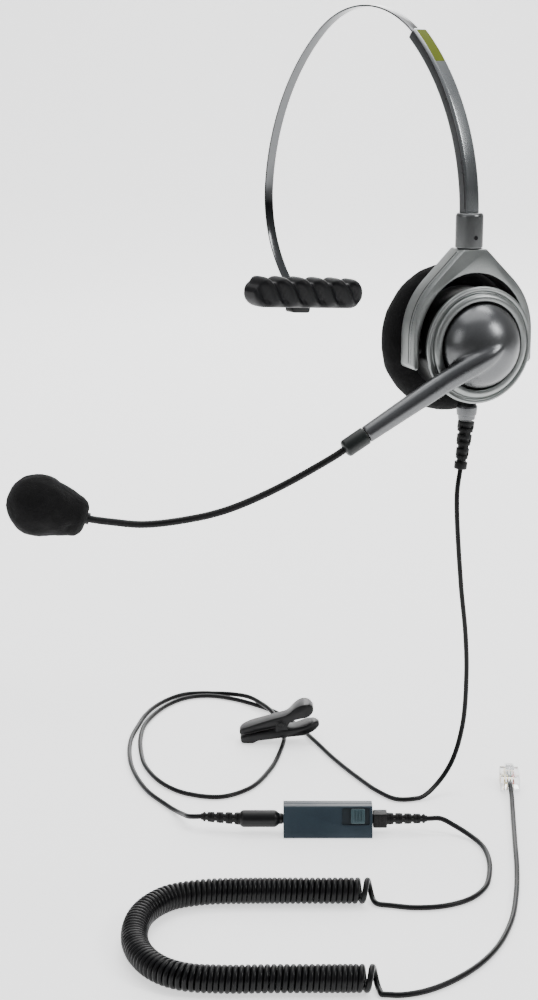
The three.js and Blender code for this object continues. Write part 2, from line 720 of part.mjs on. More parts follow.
function clipUpperArm() {
  const arm = polygon([
    [-18.5, 3.9], [-12, 4.8], [-3.2, 6], [-2.4, 5.8], [2.4, 5.9], [4, 8.4], [9, 9.6], [12, 9.6],
    [14.2, 11.2], [14.6, 13.4], [13, 15.4], [10, 15.8], [6.6, 14.4], [3, 11.2], [-3, 10.2],
    [-12, 8.4], [-17, 6.9], [-18.7, 5.6],
  ]);
  const body = plateXZ(arm, CLIP_WIDTH);
  const earRoom = [-1, 1].map((side) => box(-3.6, side * 3.6 - 0.75, 3, 3.6, side * 3.6 + 0.75, 13));
  const springRoom = box(-2.7, -1.9, 3, 2.7, 1.9, 10);
  const hole = aboutY(rod(1.1, -5, 5, 12)).translate(0, 0, CLIP_PIN_Z);
  return cut(body, ...earRoom, springRoom, hole);
}

function clip() {
  const place = onTable(...CLIP_AT, BOX_ANGLE_DEG);
  const group = new THREE.Group();
  const heel = new THREE.Vector3(-18.4, 0, 0);
  group.rotation.y = rad(CLIP_TILT_DEG);
  group.position.copy(heel).sub(heel.clone().applyEuler(group.rotation));
  place.add(group);
  const pin = aboutY(rod(0.8, -4.2, 4.2, 12)).translate(0, 0, CLIP_PIN_Z);
  const spring = aboutY(sleeveRing(1.1, 1.9, -1.6, 1.6, 16)).translate(0, 0, CLIP_PIN_Z);
  group.add(
    mesh("clip_lower_arm", clipLowerArm(), BLACK_PLASTIC),
    mesh("clip_upper_arm", clipUpperArm(), BLACK_PLASTIC),
    mesh("clip_pin", pin, STEEL),
    mesh("clip_spring", spring, STEEL),
  );
  return place;
}

// ---------------------------------------------------------------- in-line plug and control box

const BOX_AT = [69.6, -72.3];
const BOX_HALF = BOX_LENGTH / 2;
const PARTING_Y = 1.8;
const SWITCH_X0 = 8.8;
const SWITCH_X1 = 14.2;
const SWITCH_TRAVEL = 3;
const FACE_TILT_DEG = THREE.MathUtils.radToDeg(Math.atan((BOX_FRONT_TOP - BOX_FRONT_FOOT) / BOX_HEIGHT));

// The box's section is a wedge: its front leans back. Grown inwards by a wall.
function boxBlock(wall) {
  const section = polygon([
    [BOX_FRONT_FOOT + wall * 1.25, wall],
    [BOX_BACK - wall, wall],
    [BOX_BACK - wall, BOX_HEIGHT - wall],
    [BOX_FRONT_TOP + wall * 0.75, BOX_HEIGHT - wall],
  ]);
  const length = BOX_LENGTH - 2 * wall;
  const block = new THREE.ExtrudeGeometry(section, { depth: length, bevelEnabled: false });
  return block.rotateX(Math.PI / 2).rotateZ(Math.PI / 2).translate(-length / 2, 0, 0);
}

// Places a piece made on the XZ plane (Y outwards is -Y) against the leaning front face.
function onFace(geometry) {
  return geometry.rotateX(-rad(FACE_TILT_DEG)).translate(0, BOX_FRONT_FOOT, 0);
}

const onAxis = (geometry) => geometry.translate(0, BOX_AXIS_Y, BOX_AXIS_Z);
const axisRod = (radius, from, to, sides = 20) => onAxis(aboutX(rod(radius, from, to, sides)));

function boxHoles() {
  return [axisRod(2.1, -BOX_HALF - 2, -BOX_HALF + 3), axisRod(2.1, BOX_HALF - 3, BOX_HALF + 2)];
}

function boxFrontShell() {
  const half = box(-50, -20, -20, 50, PARTING_Y - GAP / 2, 40);
  const recess = onFace(box(5.2, -2, 5, 16.2, 0.7, 11.7));
  const slot = onFace(box(7.6, -2, 7.6, 13.4, 4, 9.4));
  const post = aboutY(rod(1.9, BOX_FRONT_FOOT + 3, PARTING_Y - 0.5, 16)).translate(SCREW_X, 0, BOX_AXIS_Z);
  const postHole = aboutY(rod(1.2, -1.5, 6, 12)).translate(SCREW_X, 0, BOX_AXIS_Z);
  const shell = cut(common(boxBlock(0), half), boxBlock(BOX_WALL));
  return cut(join(shell, post), postHole, recess, slot, ...boxHoles());
}

function boxRearShell() {
  const half = box(-50, PARTING_Y + GAP / 2, -20, 50, 20, 40);
  const sink = aboutY(lathe([[0, 1], [1.2, 1], [1.2, 4.1], [2, 4.1], [2, 7], [0, 7]], 16));
  sink.translate(SCREW_X, 0, BOX_AXIS_Z);
  return cut(common(boxBlock(0), half), boxBlock(BOX_WALL), sink, ...boxHoles());
}

function switchSlider() {
  const plate = box(SWITCH_X0, -0.5, 5.6, SWITCH_X1, 0.4, 11.3);
  const ribs = [0, 1, 2].map((i) => {
    const x = SWITCH_X0 + 1.2 + i * 1.3;
    return box(x, -0.9, 6.4, x + 0.4, -0.4, 10.5);
  });
  const stem = box(SWITCH_X0 + 1.9, 0.2, 7.9, SWITCH_X0 + 4.3, 2.4, 9.1);
  return onFace(join(plate, ...ribs, stem));
}

function boxSocket() {
  return onAxis(aboutX(sleeveRing(1.95, 2.35, -BOX_HALF + BOX_WALL + GAP, -6.2, 16)));
}

function boxBoard() {
  const board = box(-5, 3.1, 2, 13.5, 3.4, 9.8);
  return cut(board, aboutY(rod(1.5, 0, 6, 12)).translate(SCREW_X, 0, BOX_AXIS_Z));
}

function boxScrew() {
  const profile = [[0, -1], [0.9, -1], [0.9, 4.4], [1.7, 4.4], [1.7, 4.9], [0, 4.9]];
  return aboutY(lathe(profile, 12)).translate(SCREW_X, 0, BOX_AXIS_Z);
}

const RIB_DEPTH = 0.4;

// Ribbed taper about X, from its thick end to its thin end, with a bore for the cord.
function ribbedTaper(from, to, thick, thin, ribs) {
  const profile = [[CORD_R + GAP, from]];
  const pitch = (to - from) / ribs;
  for (let i = 0; i < ribs; i += 1) {
    const r = thick + ((thin - thick) * i) / (ribs - 1);
    const x = from + i * pitch;
    const edge = x + pitch * 0.55;
    profile.push([r, x], [r, edge], [r - RIB_DEPTH, edge], [r - RIB_DEPTH, x + pitch]);
  }
  profile.push([CORD_R + GAP, to]);
  return onAxis(aboutX(lathe(profile, 10)));
}

const PLUG_REAR = -33.8;
const PLUG_LEAN_DEG = -8;

function plugBody() {
  const rear = PLUG_REAR;
  const front = -BOX_HALF - GAP;
  const body = lathe([
    [0, rear], [2.5, rear], [3.3, rear + 1], [3.3, front - 2.6], [2.5, front - 1.6], [2.1, front - 1.2],
    [2.1, front], [1.7, front], [1.7, front + 11.4], [1.1, front + 12.2], [0, front + 12.2],
  ], 24);
  return onAxis(aboutX(cut(body, rod(CORD_R + GAP, rear - 1, rear + 4, 12))));
}

// The cord pulls this one aside a little where it leaves the plug.
function plugStrainRelief() {
  const joint = new THREE.Vector3(PLUG_REAR - GAP, BOX_AXIS_Y, BOX_AXIS_Z);
  const taper = ribbedTaper(joint.x - 0.2, joint.x - 14.9, 2.4, 2.0, 6);
  return taper.translate(-joint.x, -joint.y, 0).rotateZ(rad(PLUG_LEAN_DEG)).translate(joint.x, joint.y, 0);
}

function boxStrainRelief() {
  const start = BOX_HALF + GAP;
  const block = box(
    start, BOX_AXIS_Y - 2.6, BOX_AXIS_Z - 2.9, start + 5.4, BOX_AXIS_Y + 2.6, BOX_AXIS_Z + 2.7,
  );
  const neck = axisRod(1.8, start - 2.6, start + 1, 16);
  const taper = ribbedTaper(start + 5.2, start + 20.8, 2.3, 2.0, 6);
  return cut(join(block, neck, taper), axisRod(CORD_R + GAP, start - 5, start + 30, 12));
}

function controlBox() {
  const group = onTable(...BOX_AT, BOX_ANGLE_DEG);
  group.add(
    mesh("plug_strain_relief", plugStrainRelief(), BLACK_RUBBER),
    mesh("plug_body", plugBody(), BLACK_PLASTIC),
    mesh("box_front_shell", boxFrontShell(), SLATE),
    mesh("box_rear_shell", boxRearShell(), SLATE),
    mesh("switch_slider", switchSlider(), TEAL),
    mesh("box_socket", boxSocket(), BRASS),
    mesh("box_board", boxBoard(), BOARD),
    mesh("box_screw", boxScrew(), STEEL),
    mesh("box_strain_relief", boxStrainRelief(), BLACK_RUBBER),
  );
  return group;
}

// ---------------------------------------------------------------- modular plug

const RJ9_AT = [82, 13];
const RJ9_ANGLE_DEG = 139.5;
const RJ9_LENGTH = 13;
const RJ9_WIDTH = 7.65;
const RJ9_HEIGHT = 6.2;
const CONTACT_PITCH = 1.02;

function contactY(index) {
  return (index - 1.5) * CONTACT_PITCH;
}

function rj9Body() {
  const half = RJ9_WIDTH / 2;
  const body = box(0, -half, 0, RJ9_LENGTH, half, RJ9_HEIGHT);
  const nose = box(RJ9_LENGTH - 1.4, -half - 1, 4.6, RJ9_LENGTH + 1, half + 1, RJ9_HEIGHT + 1);
  const entry = aboutX(rod(CORD_R + 0.4, -1, 5.5, 12)).translate(0, 0, 2.6);
  const slots = [0, 1, 2, 3].map((i) =>
    box(8.4, contactY(i) - 0.33, -1, RJ9_LENGTH - 1, contactY(i) + 0.33, 3.1),
  );
  return cut(body, nose, entry, ...slots);
}

function rj9Latch() {
  const outline = polygon([[1.2, 8.6], [11, 6.6], [11.6, 7], [11.2, 7.7], [6.4, 8.8], [1.2, 9.5]]);
  return plateXZ(outline, 3.2);
}

function modularPlug() {
  const group = onTable(...RJ9_AT, RJ9_ANGLE_DEG);
  group.add(mesh("rj9_body", rj9Body(), CLEAR), mesh("rj9_latch", rj9Latch(), CLEAR));
  for (let i = 0; i < 4; i += 1) {
    const y = contactY(i);
    group.add(mesh(`rj9_contact_${i + 1}`, box(8.8, y - 0.15, 0.3, RJ9_LENGTH - 1.4, y + 0.15, 2.8), BRASS));
  }
  return group;
}

// ---------------------------------------------------------------- cords

const LOW = TABLE_Z + CORD_R; // middle of a cord that lies on the table
const AXIS_LEVEL = TABLE_Z + BOX_AXIS_Z;

// From the ear cup down to the table, under the clip, round the loop, back under the clip,
// over itself on the far left and round to the in-line plug.
const HEADSET_CORD = [
  [64, -2.2, -177], [64, -3.6, -187], [65.2, -1.6, -222], [66.2, 0.9, -245], [66.4, 1.8, -262],
  [66.2, 0.6, -283], [66, -4.5, -297.5], [66.4, -13, -305.5], [66.8, -22.5, LOW], [62.5, -30.5, LOW],
  [52, -31.5, LOW], [36, -28.8, LOW], [14, -23.6, LOW], [-9, -16.6, LOW], [-29, -11, LOW],
  [-47, -9, LOW], [-61, -10.8, LOW], [-73, -14.4, LOW], [-81, -19.2, LOW], [-85.2, -25.4, LOW],
  [-86.2, -32, LOW], [-84.2, -41, LOW], [-79, -51.4, LOW], [-69.4, -64.2, LOW], [-58.2, -74, LOW],
  [-44, -83.4, LOW], [-27, -92, LOW], [-8, -96.4, LOW], [6, -94.8, LOW],
  [17.4, -86, LOW], [17.6, -71.5, LOW], [6, -51.5, LOW], [-8, -35.6, LOW], [-18, -26, LOW],
  [-27, -19.4, LOW], [-35.5, -15.6, -308.4], [-45, -12.6, -307.1], [-55, -10.9, -306.7],
  [-65, -10.4, -306.7], [-76, -12.6, -308], [-84, -17, LOW], [-88.4, -22.6, LOW], [-90.8, -28.6, LOW],
  [-89.9, -37.2, LOW], [-85.6, -47.8, LOW], [-79, -57.6, LOW], [-70.6, -66.8, LOW], [-57, -80, LOW],
  [-38, -92.8, LOW], [-21, -100.8, LOW], [-4, -106, LOW], [13, -107.8, LOW], [21, -108.8, -308.3],
  [27.5, -110.4, -306.8], [32, -111.6, -305.6], [35, -111.2, -304.8], [37.6, -109.3, AXIS_LEVEL],
];

const BOX_CORD = [
  [92.4, -40.6, AXIS_LEVEL], [95.2, -37.2, -304.2], [100, -34, -306.4], [106.5, -32.2, -308.5],
  [115, -34, LOW], [125, -40, LOW], [135, -49, LOW], [142.6, -58.5, LOW], [146, -69, LOW],
  [144.6, -80, LOW], [139, -89.5, LOW], [131, -96.2, LOW],
];

// Middle of the curly cord, a U of two long legs.
const CURLY_CORD = [
  [126, -97], [117, -109], [107.5, -121.5], [98.5, -133.5], [90.5, -146], [87, -158], [91, -171],
  [101.5, -182], [114, -188.5], [127, -190], [137, -186.5], [145.5, -178], [155, -165],
  [165.5, -151], [176, -137],
];

const LEAD_CORD = [
  [178.8, -138.6, LOW], [183, -134.5, LOW], [186, -127, LOW], [186.6, -116, LOW], [184, -101, LOW],
  [178, -86, LOW], [167, -69, LOW], [153, -53, LOW], [138, -38, LOW], [119, -20.5, LOW],
  [100, -3, LOW], [88.5, 7.5, -308.2], [82.3, 12.7, -307.4],
];

function cords() {
  const group = new THREE.Group();
  const curly = CURLY_CORD.map(([x, y]) => [x, y, TABLE_Z + COIL_R]);
  group.add(
    mesh("headset_cord", tube(HEADSET_CORD, CORD_R, 76), CORD),
    mesh("box_cord", tube(BOX_CORD, CORD_R, 24), CORD),
    mesh("curly_cord", tube(curly, COIL_R, 24, 12), CORD),
    mesh("lead_cord", tube(LEAD_CORD, CORD_R, 30), CORD),
  );
  return group;
}

// ---------------------------------------------------------------- assembly

const headset = new THREE.Group();
headset.add(headband(), templePad(), earCup(), mesh("swivel_stem", swivelStem(), STEEL));
headset.add(gooseneck(), microphone(), clip(), controlBox(), modularPlug(), cords());

export default headset;
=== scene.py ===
"""Office headset: the visual model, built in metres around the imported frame."""
import json
import math

import bmesh
import bpy
from mathutils import Matrix, Vector, noise


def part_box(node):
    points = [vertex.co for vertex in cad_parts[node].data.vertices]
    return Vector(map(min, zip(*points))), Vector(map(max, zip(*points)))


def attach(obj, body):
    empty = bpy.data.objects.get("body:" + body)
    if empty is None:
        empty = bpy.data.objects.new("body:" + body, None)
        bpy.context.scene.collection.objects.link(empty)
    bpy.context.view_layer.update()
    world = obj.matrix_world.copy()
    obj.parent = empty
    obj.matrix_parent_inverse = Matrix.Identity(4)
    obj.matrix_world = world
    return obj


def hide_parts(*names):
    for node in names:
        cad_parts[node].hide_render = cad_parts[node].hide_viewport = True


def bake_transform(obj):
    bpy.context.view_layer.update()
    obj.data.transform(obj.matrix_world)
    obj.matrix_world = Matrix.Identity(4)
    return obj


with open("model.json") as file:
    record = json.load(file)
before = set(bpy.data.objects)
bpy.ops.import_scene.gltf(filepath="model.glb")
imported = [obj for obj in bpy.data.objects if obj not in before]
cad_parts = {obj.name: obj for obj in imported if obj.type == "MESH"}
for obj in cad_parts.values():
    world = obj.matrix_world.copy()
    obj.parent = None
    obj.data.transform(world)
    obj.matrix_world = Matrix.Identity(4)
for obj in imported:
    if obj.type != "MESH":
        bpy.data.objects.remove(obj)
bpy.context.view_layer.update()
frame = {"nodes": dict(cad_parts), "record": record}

MM = 0.001
RECORD = frame["record"]
NODES = frame["nodes"]
JOINTS = {j["name"]: j for j in RECORD["behaviour"]["joints"]}
MOUNTS = {m["name"]: m for m in RECORD["mounts"]}


def frame_at(origin, x_axis, y_axis):
    """Matrix that places a piece made in its own frame."""
    x = Vector(x_axis).normalized()
    y = Vector(y_axis).normalized()
    z = x.cross(y).normalized()
    m = Matrix((x, y, z)).transposed().to_4x4()
    m.translation = Vector(origin)
    return m


UP = Vector((0, 0, 1))
CUP_X = Vector(JOINTS["boom_turn"]["axis"])
CUP = frame_at(JOINTS["boom_turn"]["pos_m"], CUP_X, UP.cross(CUP_X))
BOX_X = Vector(JOINTS["plug_pull"]["axis"])
BOX_Y = UP.cross(BOX_X)
BOX_REAR = 5.0
CORD_LEVEL = 5.7
BOX_REAR_FACE = Vector(MOUNTS["box_rear_face"]["pos_m"])
BOX_MIDDLE = BOX_REAR_FACE + BOX_X * 8 * MM - BOX_Y * BOX_REAR * MM - UP * CORD_LEVEL * MM
BOX = frame_at(BOX_MIDDLE, BOX_X, BOX_Y)
AXIS = BOX @ Matrix.Translation((0, 1 * MM, CORD_LEVEL * MM))
CLIP_PIN_Z = 7.6
CLIP_TILT = math.radians(5.5)
CLIP_X = BOX_X * math.cos(CLIP_TILT) + UP * math.sin(CLIP_TILT)
CLIP = frame_at((0, 0, 0), CLIP_X, BOX_Y)
CLIP.translation = Vector(JOINTS["clip_open"]["pos_m"]) - CLIP.to_3x3() @ Vector((0, 0, CLIP_PIN_Z * MM))
PLUG_X = Vector(MOUNTS["plug_front_face"]["axis"])
PLUG_Y = UP.cross(PLUG_X)
PLUG_LENGTH = 13.0
PLUG_BACK = Vector(MOUNTS["plug_front_face"]["pos_m"]) - (PLUG_X * PLUG_LENGTH + UP * 2) * MM
PLUG = frame_at(PLUG_BACK, PLUG_X, PLUG_Y)
PAD_Y = Vector(JOINTS["temple_pad_tilt"]["axis"])
PAD = frame_at(JOINTS["temple_pad_tilt"]["pos_m"], (1, 0, 0), PAD_Y)
TABLE_Z = -0.310

# ---------------------------------------------------------------- camera, floor and light


def add_object(name, data):
    obj = bpy.data.objects.new(name, data)
    bpy.context.collection.objects.link(obj)
    return obj


def make_camera():
    data = bpy.data.cameras.new("camera")
    data.lens = 68.4
    data.sensor_width = 36
    cam = add_object("camera", data)
    cam.location = (0.5975, -0.5014, -0.008)
    cam.rotation_euler = (math.radians(76), 0, math.radians(52.8))
    bpy.context.scene.camera = cam


def area_light(name, at, target, size, power):
    data = bpy.data.lights.new(name, "AREA")
    data.shape = "RECTANGLE"
    data.size, data.size_y = size
    data.energy = power
    lamp = add_object(name, data)
    lamp.location = at
    lamp.rotation_euler = (Vector(target) - Vector(at)).to_track_quat("-Z", "Y").to_euler()


def add_node(tree, kind, sockets=(), **values):
    """New shader node with its settings and the values of its unlinked sockets."""
    made = tree.nodes.new(kind)
    for key, value in values.items():
        setattr(made, key, value)
    for key, value in dict(sockets).items():
        made.inputs[key].default_value = value
    return made


def add_ramp(tree, low, high, low_at=0.0, high_at=1.0):
    ramp = add_node(tree, "ShaderNodeValToRGB")
    for stop, at, color in zip(ramp.color_ramp.elements, (low_at, high_at), (low, high)):
        stop.position, stop.color = at, (*color, 1)
    return ramp


def make_world():
    """Soft studio surround, bright overhead and dark round the sides."""
    world = bpy.data.worlds.new("studio")
    world.use_nodes = True
    tree = world.node_tree
    tree.nodes.clear()
    out = add_node(tree, "ShaderNodeOutputWorld")
    back = add_node(tree, "ShaderNodeBackground", {1: 0.5})
    coord = add_node(tree, "ShaderNodeTexCoord")
    split = add_node(tree, "ShaderNodeSeparateXYZ")
    ramp = add_ramp(tree, (0.035, 0.037, 0.04), (0.95, 0.96, 1.0), 0.0, 0.8)
    tree.links.new(coord.outputs["Generated"], split.inputs[0])
    tree.links.new(split.outputs["Z"], ramp.inputs[0])
    tree.links.new(ramp.outputs[0], back.inputs[0])
    tree.links.new(back.outputs[0], out.inputs[0])
    bpy.context.scene.world = world


FLOOR_FRONT = -14.0
FLOOR_HALF_WIDTH = 9.0
WALL_START = 1.3
WALL_RADIUS = 0.7
WALL_TOP = 3.0
FLOOR_DROP = 0.0002


def make_stage():
    """Pale paper floor that curves up into a wall behind the object. Its material glows with a painted pool
    of light.
    """
    bm = bmesh.new()
    profile = [(FLOOR_FRONT, 0.0), (WALL_START, 0.0)]
    for i in range(1, 13):
        angle = math.radians(90 * i / 12)
        profile.append((WALL_START + WALL_RADIUS * math.sin(angle), WALL_RADIUS * (1 - math.cos(angle))))
    profile.append((WALL_START + WALL_RADIUS, WALL_TOP))
    rows = [[bm.verts.new((side * FLOOR_HALF_WIDTH, y, z)) for side in (-1, 1)] for y, z in profile]
    for a, b in zip(rows, rows[1:]):
        bm.faces.new((a[0], a[1], b[1], b[0]))
    data = bpy.data.meshes.new("floor")
    bm.to_mesh(data)
    bm.free()
    data.shade_smooth()
    floor = add_object("floor", data)
    floor.rotation_euler = (0, 0, math.radians(50))
    floor.location = (0, 0, TABLE_Z - FLOOR_DROP)
    data.materials.append(painted_light_floor())


def painted_light_floor():
    """Glowing floor with a painted pool of light: white round the object, falling off to painted dark in
    front and at the sides, so the metal has a dark to show.
    """
    mat = bpy.data.materials.new("painted_light_floor")
    mat.use_nodes = True
    tree = mat.node_tree
    link = tree.links.new
    bsdf = tree.nodes["Principled BSDF"]
    bsdf.inputs["Roughness"].default_value = 0.9
    # Painted light: the floor glows in the colour of its painted pool of light, though it is no lamp.
    bsdf.inputs["Emission Strength"].default_value = 1.1
    coord = add_node(tree, "ShaderNodeTexCoord")
    split = add_node(tree, "ShaderNodeSeparateXYZ")
    ahead = add_node(tree, "ShaderNodeMapRange", {"From Min": -0.85, "From Max": -0.28})
    aside = add_node(tree, "ShaderNodeMath", operation="ABSOLUTE")
    width = add_node(tree, "ShaderNodeMapRange",
                     {"From Min": 0.55, "From Max": 1.3, "To Min": 1.0, "To Max": 0.15})
    lit = add_node(tree, "ShaderNodeMath", operation="MULTIPLY")
    ramp = add_ramp(tree, (0.16, 0.16, 0.16), (0.95, 0.95, 0.95))
    link(coord.outputs["Object"], split.inputs[0])
    link(split.outputs["Y"], ahead.inputs["Value"])
    link(split.outputs["X"], aside.inputs[0])
    link(aside.outputs[0], width.inputs["Value"])
    link(ahead.outputs[0], lit.inputs[0])
    link(width.outputs[0], lit.inputs[1])
    link(lit.outputs[0], ramp.inputs[0])
    link(ramp.outputs[0], bsdf.inputs["Base Color"])
    link(ramp.outputs[0], bsdf.inputs["Emission Color"])
    return mat


make_camera()
make_world()
make_stage()
area_light("key", (1.1, 0.55, 0.75), (0.05, 0, -0.1), (0.35, 0.5), 9)
area_light("fill", (0.1, -1.5, 0.5), (0, 0, -0.15), (0.5, 0.9), 3)
area_light("top", (-0.2, 0.1, 1.3), (0, 0, -0.3), (1.6, 1.6), 16)
area_light("rim", (-0.9, 0.9, 0.5), (0, 0, -0.1), (0.6, 0.8), 5)
area_light("wall_wash", (-0.6, 0.6, 1.9), (-1.3, 1.1, 0.1), (2.0, 1.0), 30)

# ---------------------------------------------------------------- materials


def material(name, base, rough, metal=0.0, grain=400.0, bump=0.1, depth=0.00005, vary=0.06,
             rough_vary=0.08, edge_wear_and_highlight=0.0, edge_wear_and_highlight_color=(0.8, 0.8, 0.8), stretch=(1, 1, 1), **sockets):
    """Shader with fine grain, slow colour and gloss changes, and a lighter colour along convex edges that is
    partly wear and partly a painted highlight.
    """
    mat = bpy.data.materials.new(name)
    mat.use_nodes = True
    tree = mat.node_tree
    bsdf = tree.nodes["Principled BSDF"]
    link = tree.links.new
    coord = add_node(tree, "ShaderNodeTexCoord")
    mapping = add_node(tree, "ShaderNodeMapping", {"Scale": stretch})
    link(coord.outputs["Object"], mapping.inputs["Vector"])

    def speckle(scale, detail):
        tex = add_node(tree, "ShaderNodeTexNoise", {"Scale": scale, "Detail": detail, "Roughness": 0.55})
        link(mapping.outputs[0], tex.inputs["Vector"])
        return tex.outputs["Fac"]

    fine = speckle(grain, 6)
    slow = speckle(38.0, 4)
    tint = add_ramp(tree, [max(0.0, c * (1 - vary * 2)) for c in base],
                    [min(1.0, c * (1 + vary * 2)) for c in base], 0.25, 0.75)
    half = add_node(tree, "ShaderNodeMath", {1: 0.5}, operation="MULTIPLY")
    both = add_node(tree, "ShaderNodeMath", {1: 0.5}, operation="MULTIPLY_ADD")
    link(slow, half.inputs[0])
    link(fine, both.inputs[0])
    link(half.outputs[0], both.inputs[2])
    link(both.outputs[0], tint.inputs[0])
    color = tint.outputs[0]
    # Painted highlight and wear: a lighter colour along convex edges, broken up by slow noise.
    if edge_wear_and_highlight > 0:
        geometry = add_node(tree, "ShaderNodeNewGeometry")
        edge = add_node(tree, "ShaderNodeMapRange", {"From Min": 0.53, "From Max": 0.66, "To Max": edge_wear_and_highlight})
        broken = add_node(tree, "ShaderNodeMath", operation="MULTIPLY")
        mix = add_node(tree, "ShaderNodeMix", data_type="RGBA")
        mix.inputs[7].default_value = (*edge_wear_and_highlight_color, 1)
        link(geometry.outputs["Pointiness"], edge.inputs["Value"])
        link(edge.outputs[0], broken.inputs[0])
        link(slow, broken.inputs[1])
        link(broken.outputs[0], mix.inputs["Factor"])
        link(color, mix.inputs[6])
        color = mix.outputs[2]
    link(color, bsdf.inputs["Base Color"])
    gloss = add_node(tree, "ShaderNodeMapRange", {
        "From Min": 0.3, "From Max": 0.7,
        "To Min": max(0.02, rough - rough_vary), "To Max": min(1.0, rough + rough_vary),
    })
    link(slow, gloss.inputs["Value"])
    link(gloss.outputs[0], bsdf.inputs["Roughness"])
    relief = add_node(tree, "ShaderNodeBump", {"Strength": bump, "Distance": depth})
    link(fine, relief.inputs["Height"])
    link(relief.outputs[0], bsdf.inputs["Normal"])
    bsdf.inputs["Metallic"].default_value = metal
    for key, value in sockets.items():
        bsdf.inputs[key.replace("_", " ")].default_value = value
    return mat


SILVER = material("satin_silver", (0.29, 0.304, 0.298), 0.36, 0.92, grain=2600, bump=0.7, depth=3e-5,
                  vary=0.09, edge_wear_and_highlight=0.35, edge_wear_and_highlight_color=(0.6, 0.61, 0.61))
BRIGHT = material("bright_silver", (0.33, 0.345, 0.35), 0.26, 0.95, grain=1800, bump=0.12, depth=1e-5,
                  vary=0.05, rough_vary=0.05, edge_wear_and_highlight=0.3, edge_wear_and_highlight_color=(0.7, 0.7, 0.7))
GUNMETAL = material("gunmetal", (0.135, 0.138, 0.141), 0.30, 0.92, grain=2400, bump=0.3, depth=1.5e-5,
                    vary=0.08, rough_vary=0.05)
BOOM_METAL = material("boom_metal", (0.15, 0.155, 0.155), 0.33, 0.9, grain=2600, bump=0.3, depth=1.5e-5,
                      vary=0.07, rough_vary=0.06)
STEEL = material("polished_steel", (0.13, 0.133, 0.136), 0.15, 1.0, grain=900, bump=0.08, depth=8e-6,
                 vary=0.03, rough_vary=0.04, stretch=(1, 6, 1))
PIN_STEEL = material("pin_steel", (0.5, 0.51, 0.52), 0.3, 1.0, grain=1500, bump=0.1, depth=1e-5)
BRASS = material("gold_plate", (0.86, 0.62, 0.22), 0.22, 1.0, grain=1200, bump=0.08, depth=8e-6)
LIME = material("lime_label", (0.125, 0.155, 0.004), 0.5, 0.0, grain=1500, bump=0.1, depth=1e-5,
                vary=0.08, Specular_IOR_Level=0.2)
PLASTIC = material("black_plastic", (0.0040, 0.0042, 0.0045), 0.36, 0.0, grain=1600, bump=0.35, depth=2e-5,
                   vary=0.25, edge_wear_and_highlight=0.3, edge_wear_and_highlight_color=(0.02, 0.02, 0.022), Specular_IOR_Level=0.25)
RUBBER = material("black_rubber", (0.0035, 0.0035, 0.0037), 0.5, 0.0, grain=1300, bump=0.4, depth=3e-5,
                  vary=0.3, rough_vary=0.12, edge_wear_and_highlight=0.3, edge_wear_and_highlight_color=(0.018, 0.018, 0.018), Specular_IOR_Level=0.22)
GREEN_BLACK = material("green_black_plastic", (0.0035, 0.0060, 0.0052), 0.42, 0.0, grain=1500, bump=0.25,
                       depth=2e-5, vary=0.2, Specular_IOR_Level=0.4)
CORD = material("cord_jacket", (0.0022, 0.0022, 0.0026), 0.36, 0.0, grain=900, bump=0.2, depth=2e-5,
                vary=0.25, rough_vary=0.08, Specular_IOR_Level=0.2)
SLATE = material("slate_plastic", (0.015, 0.028, 0.040), 0.42, 0.0, grain=1500, bump=0.45, depth=2.5e-5,
                 vary=0.12, edge_wear_and_highlight=0.45, edge_wear_and_highlight_color=(0.10, 0.14, 0.17))
# Painted shade: a darker copy of the slate plastic for the floor of the switch recess.
SHADED_SLATE = material("slate_painted_shade", (0.008, 0.014, 0.019), 0.45, 0.0, grain=1500, bump=0.35, depth=2e-5,
                      vary=0.12)
TEAL = material("teal_plastic", (0.040, 0.072, 0.082), 0.40, 0.0, grain=1500, bump=0.4, depth=2e-5,
                vary=0.10, edge_wear_and_highlight=0.35, edge_wear_and_highlight_color=(0.16, 0.22, 0.25))
BOARD = material("board_green", (0.02, 0.12, 0.05), 0.4, 0.0, grain=500, bump=0.2)
CLEAR = material("clear_plastic", (0.93, 0.95, 0.96), 0.08, 0.0, grain=600, bump=0.03, depth=1e-5,
                 vary=0.01, rough_vary=0.03, Transmission_Weight=0.92, IOR=1.58)


def foam_material(name, base, cell):
    """Open-cell foam: dark pores between lighter struts."""
    mat = material(name, base, 0.95, 0.0, grain=900, bump=0.4, depth=6e-5, vary=0.35, rough_vary=0.04,
                   Sheen_Weight=0.03, Specular_IOR_Level=0.2)
    tree = mat.node_tree
    normal = tree.nodes["Principled BSDF"].inputs["Normal"]
    coord = add_node(tree, "ShaderNodeTexCoord")
    cells = add_node(tree, "ShaderNodeTexVoronoi", feature="DISTANCE_TO_EDGE")
    cells.inputs["Scale"].default_value = cell
    relief = add_node(tree, "ShaderNodeBump", {"Strength": 0.9, "Distance": 0.0003}, invert=True)
    tree.links.new(coord.outputs["Object"], cells.inputs["Vector"])
    tree.links.new(normal.links[0].from_socket, relief.inputs["Normal"])
    tree.links.new(cells.outputs["Distance"], relief.inputs["Height"])
    tree.links.new(relief.outputs[0], normal)
    return mat


FOAM = foam_material("black_foam", (0.0042, 0.0042, 0.0044), 1500)
PAD_RUBBER = material("pad_rubber", (0.0030, 0.0031, 0.0038), 0.46, 0.0, grain=1100, bump=0.6, depth=5e-5,
                      vary=0.3, edge_wear_and_highlight=0.4, edge_wear_and_highlight_color=(0.02, 0.022, 0.028), Specular_IOR_Level=0.22)

# ---------------------------------------------------------------- mesh helpers


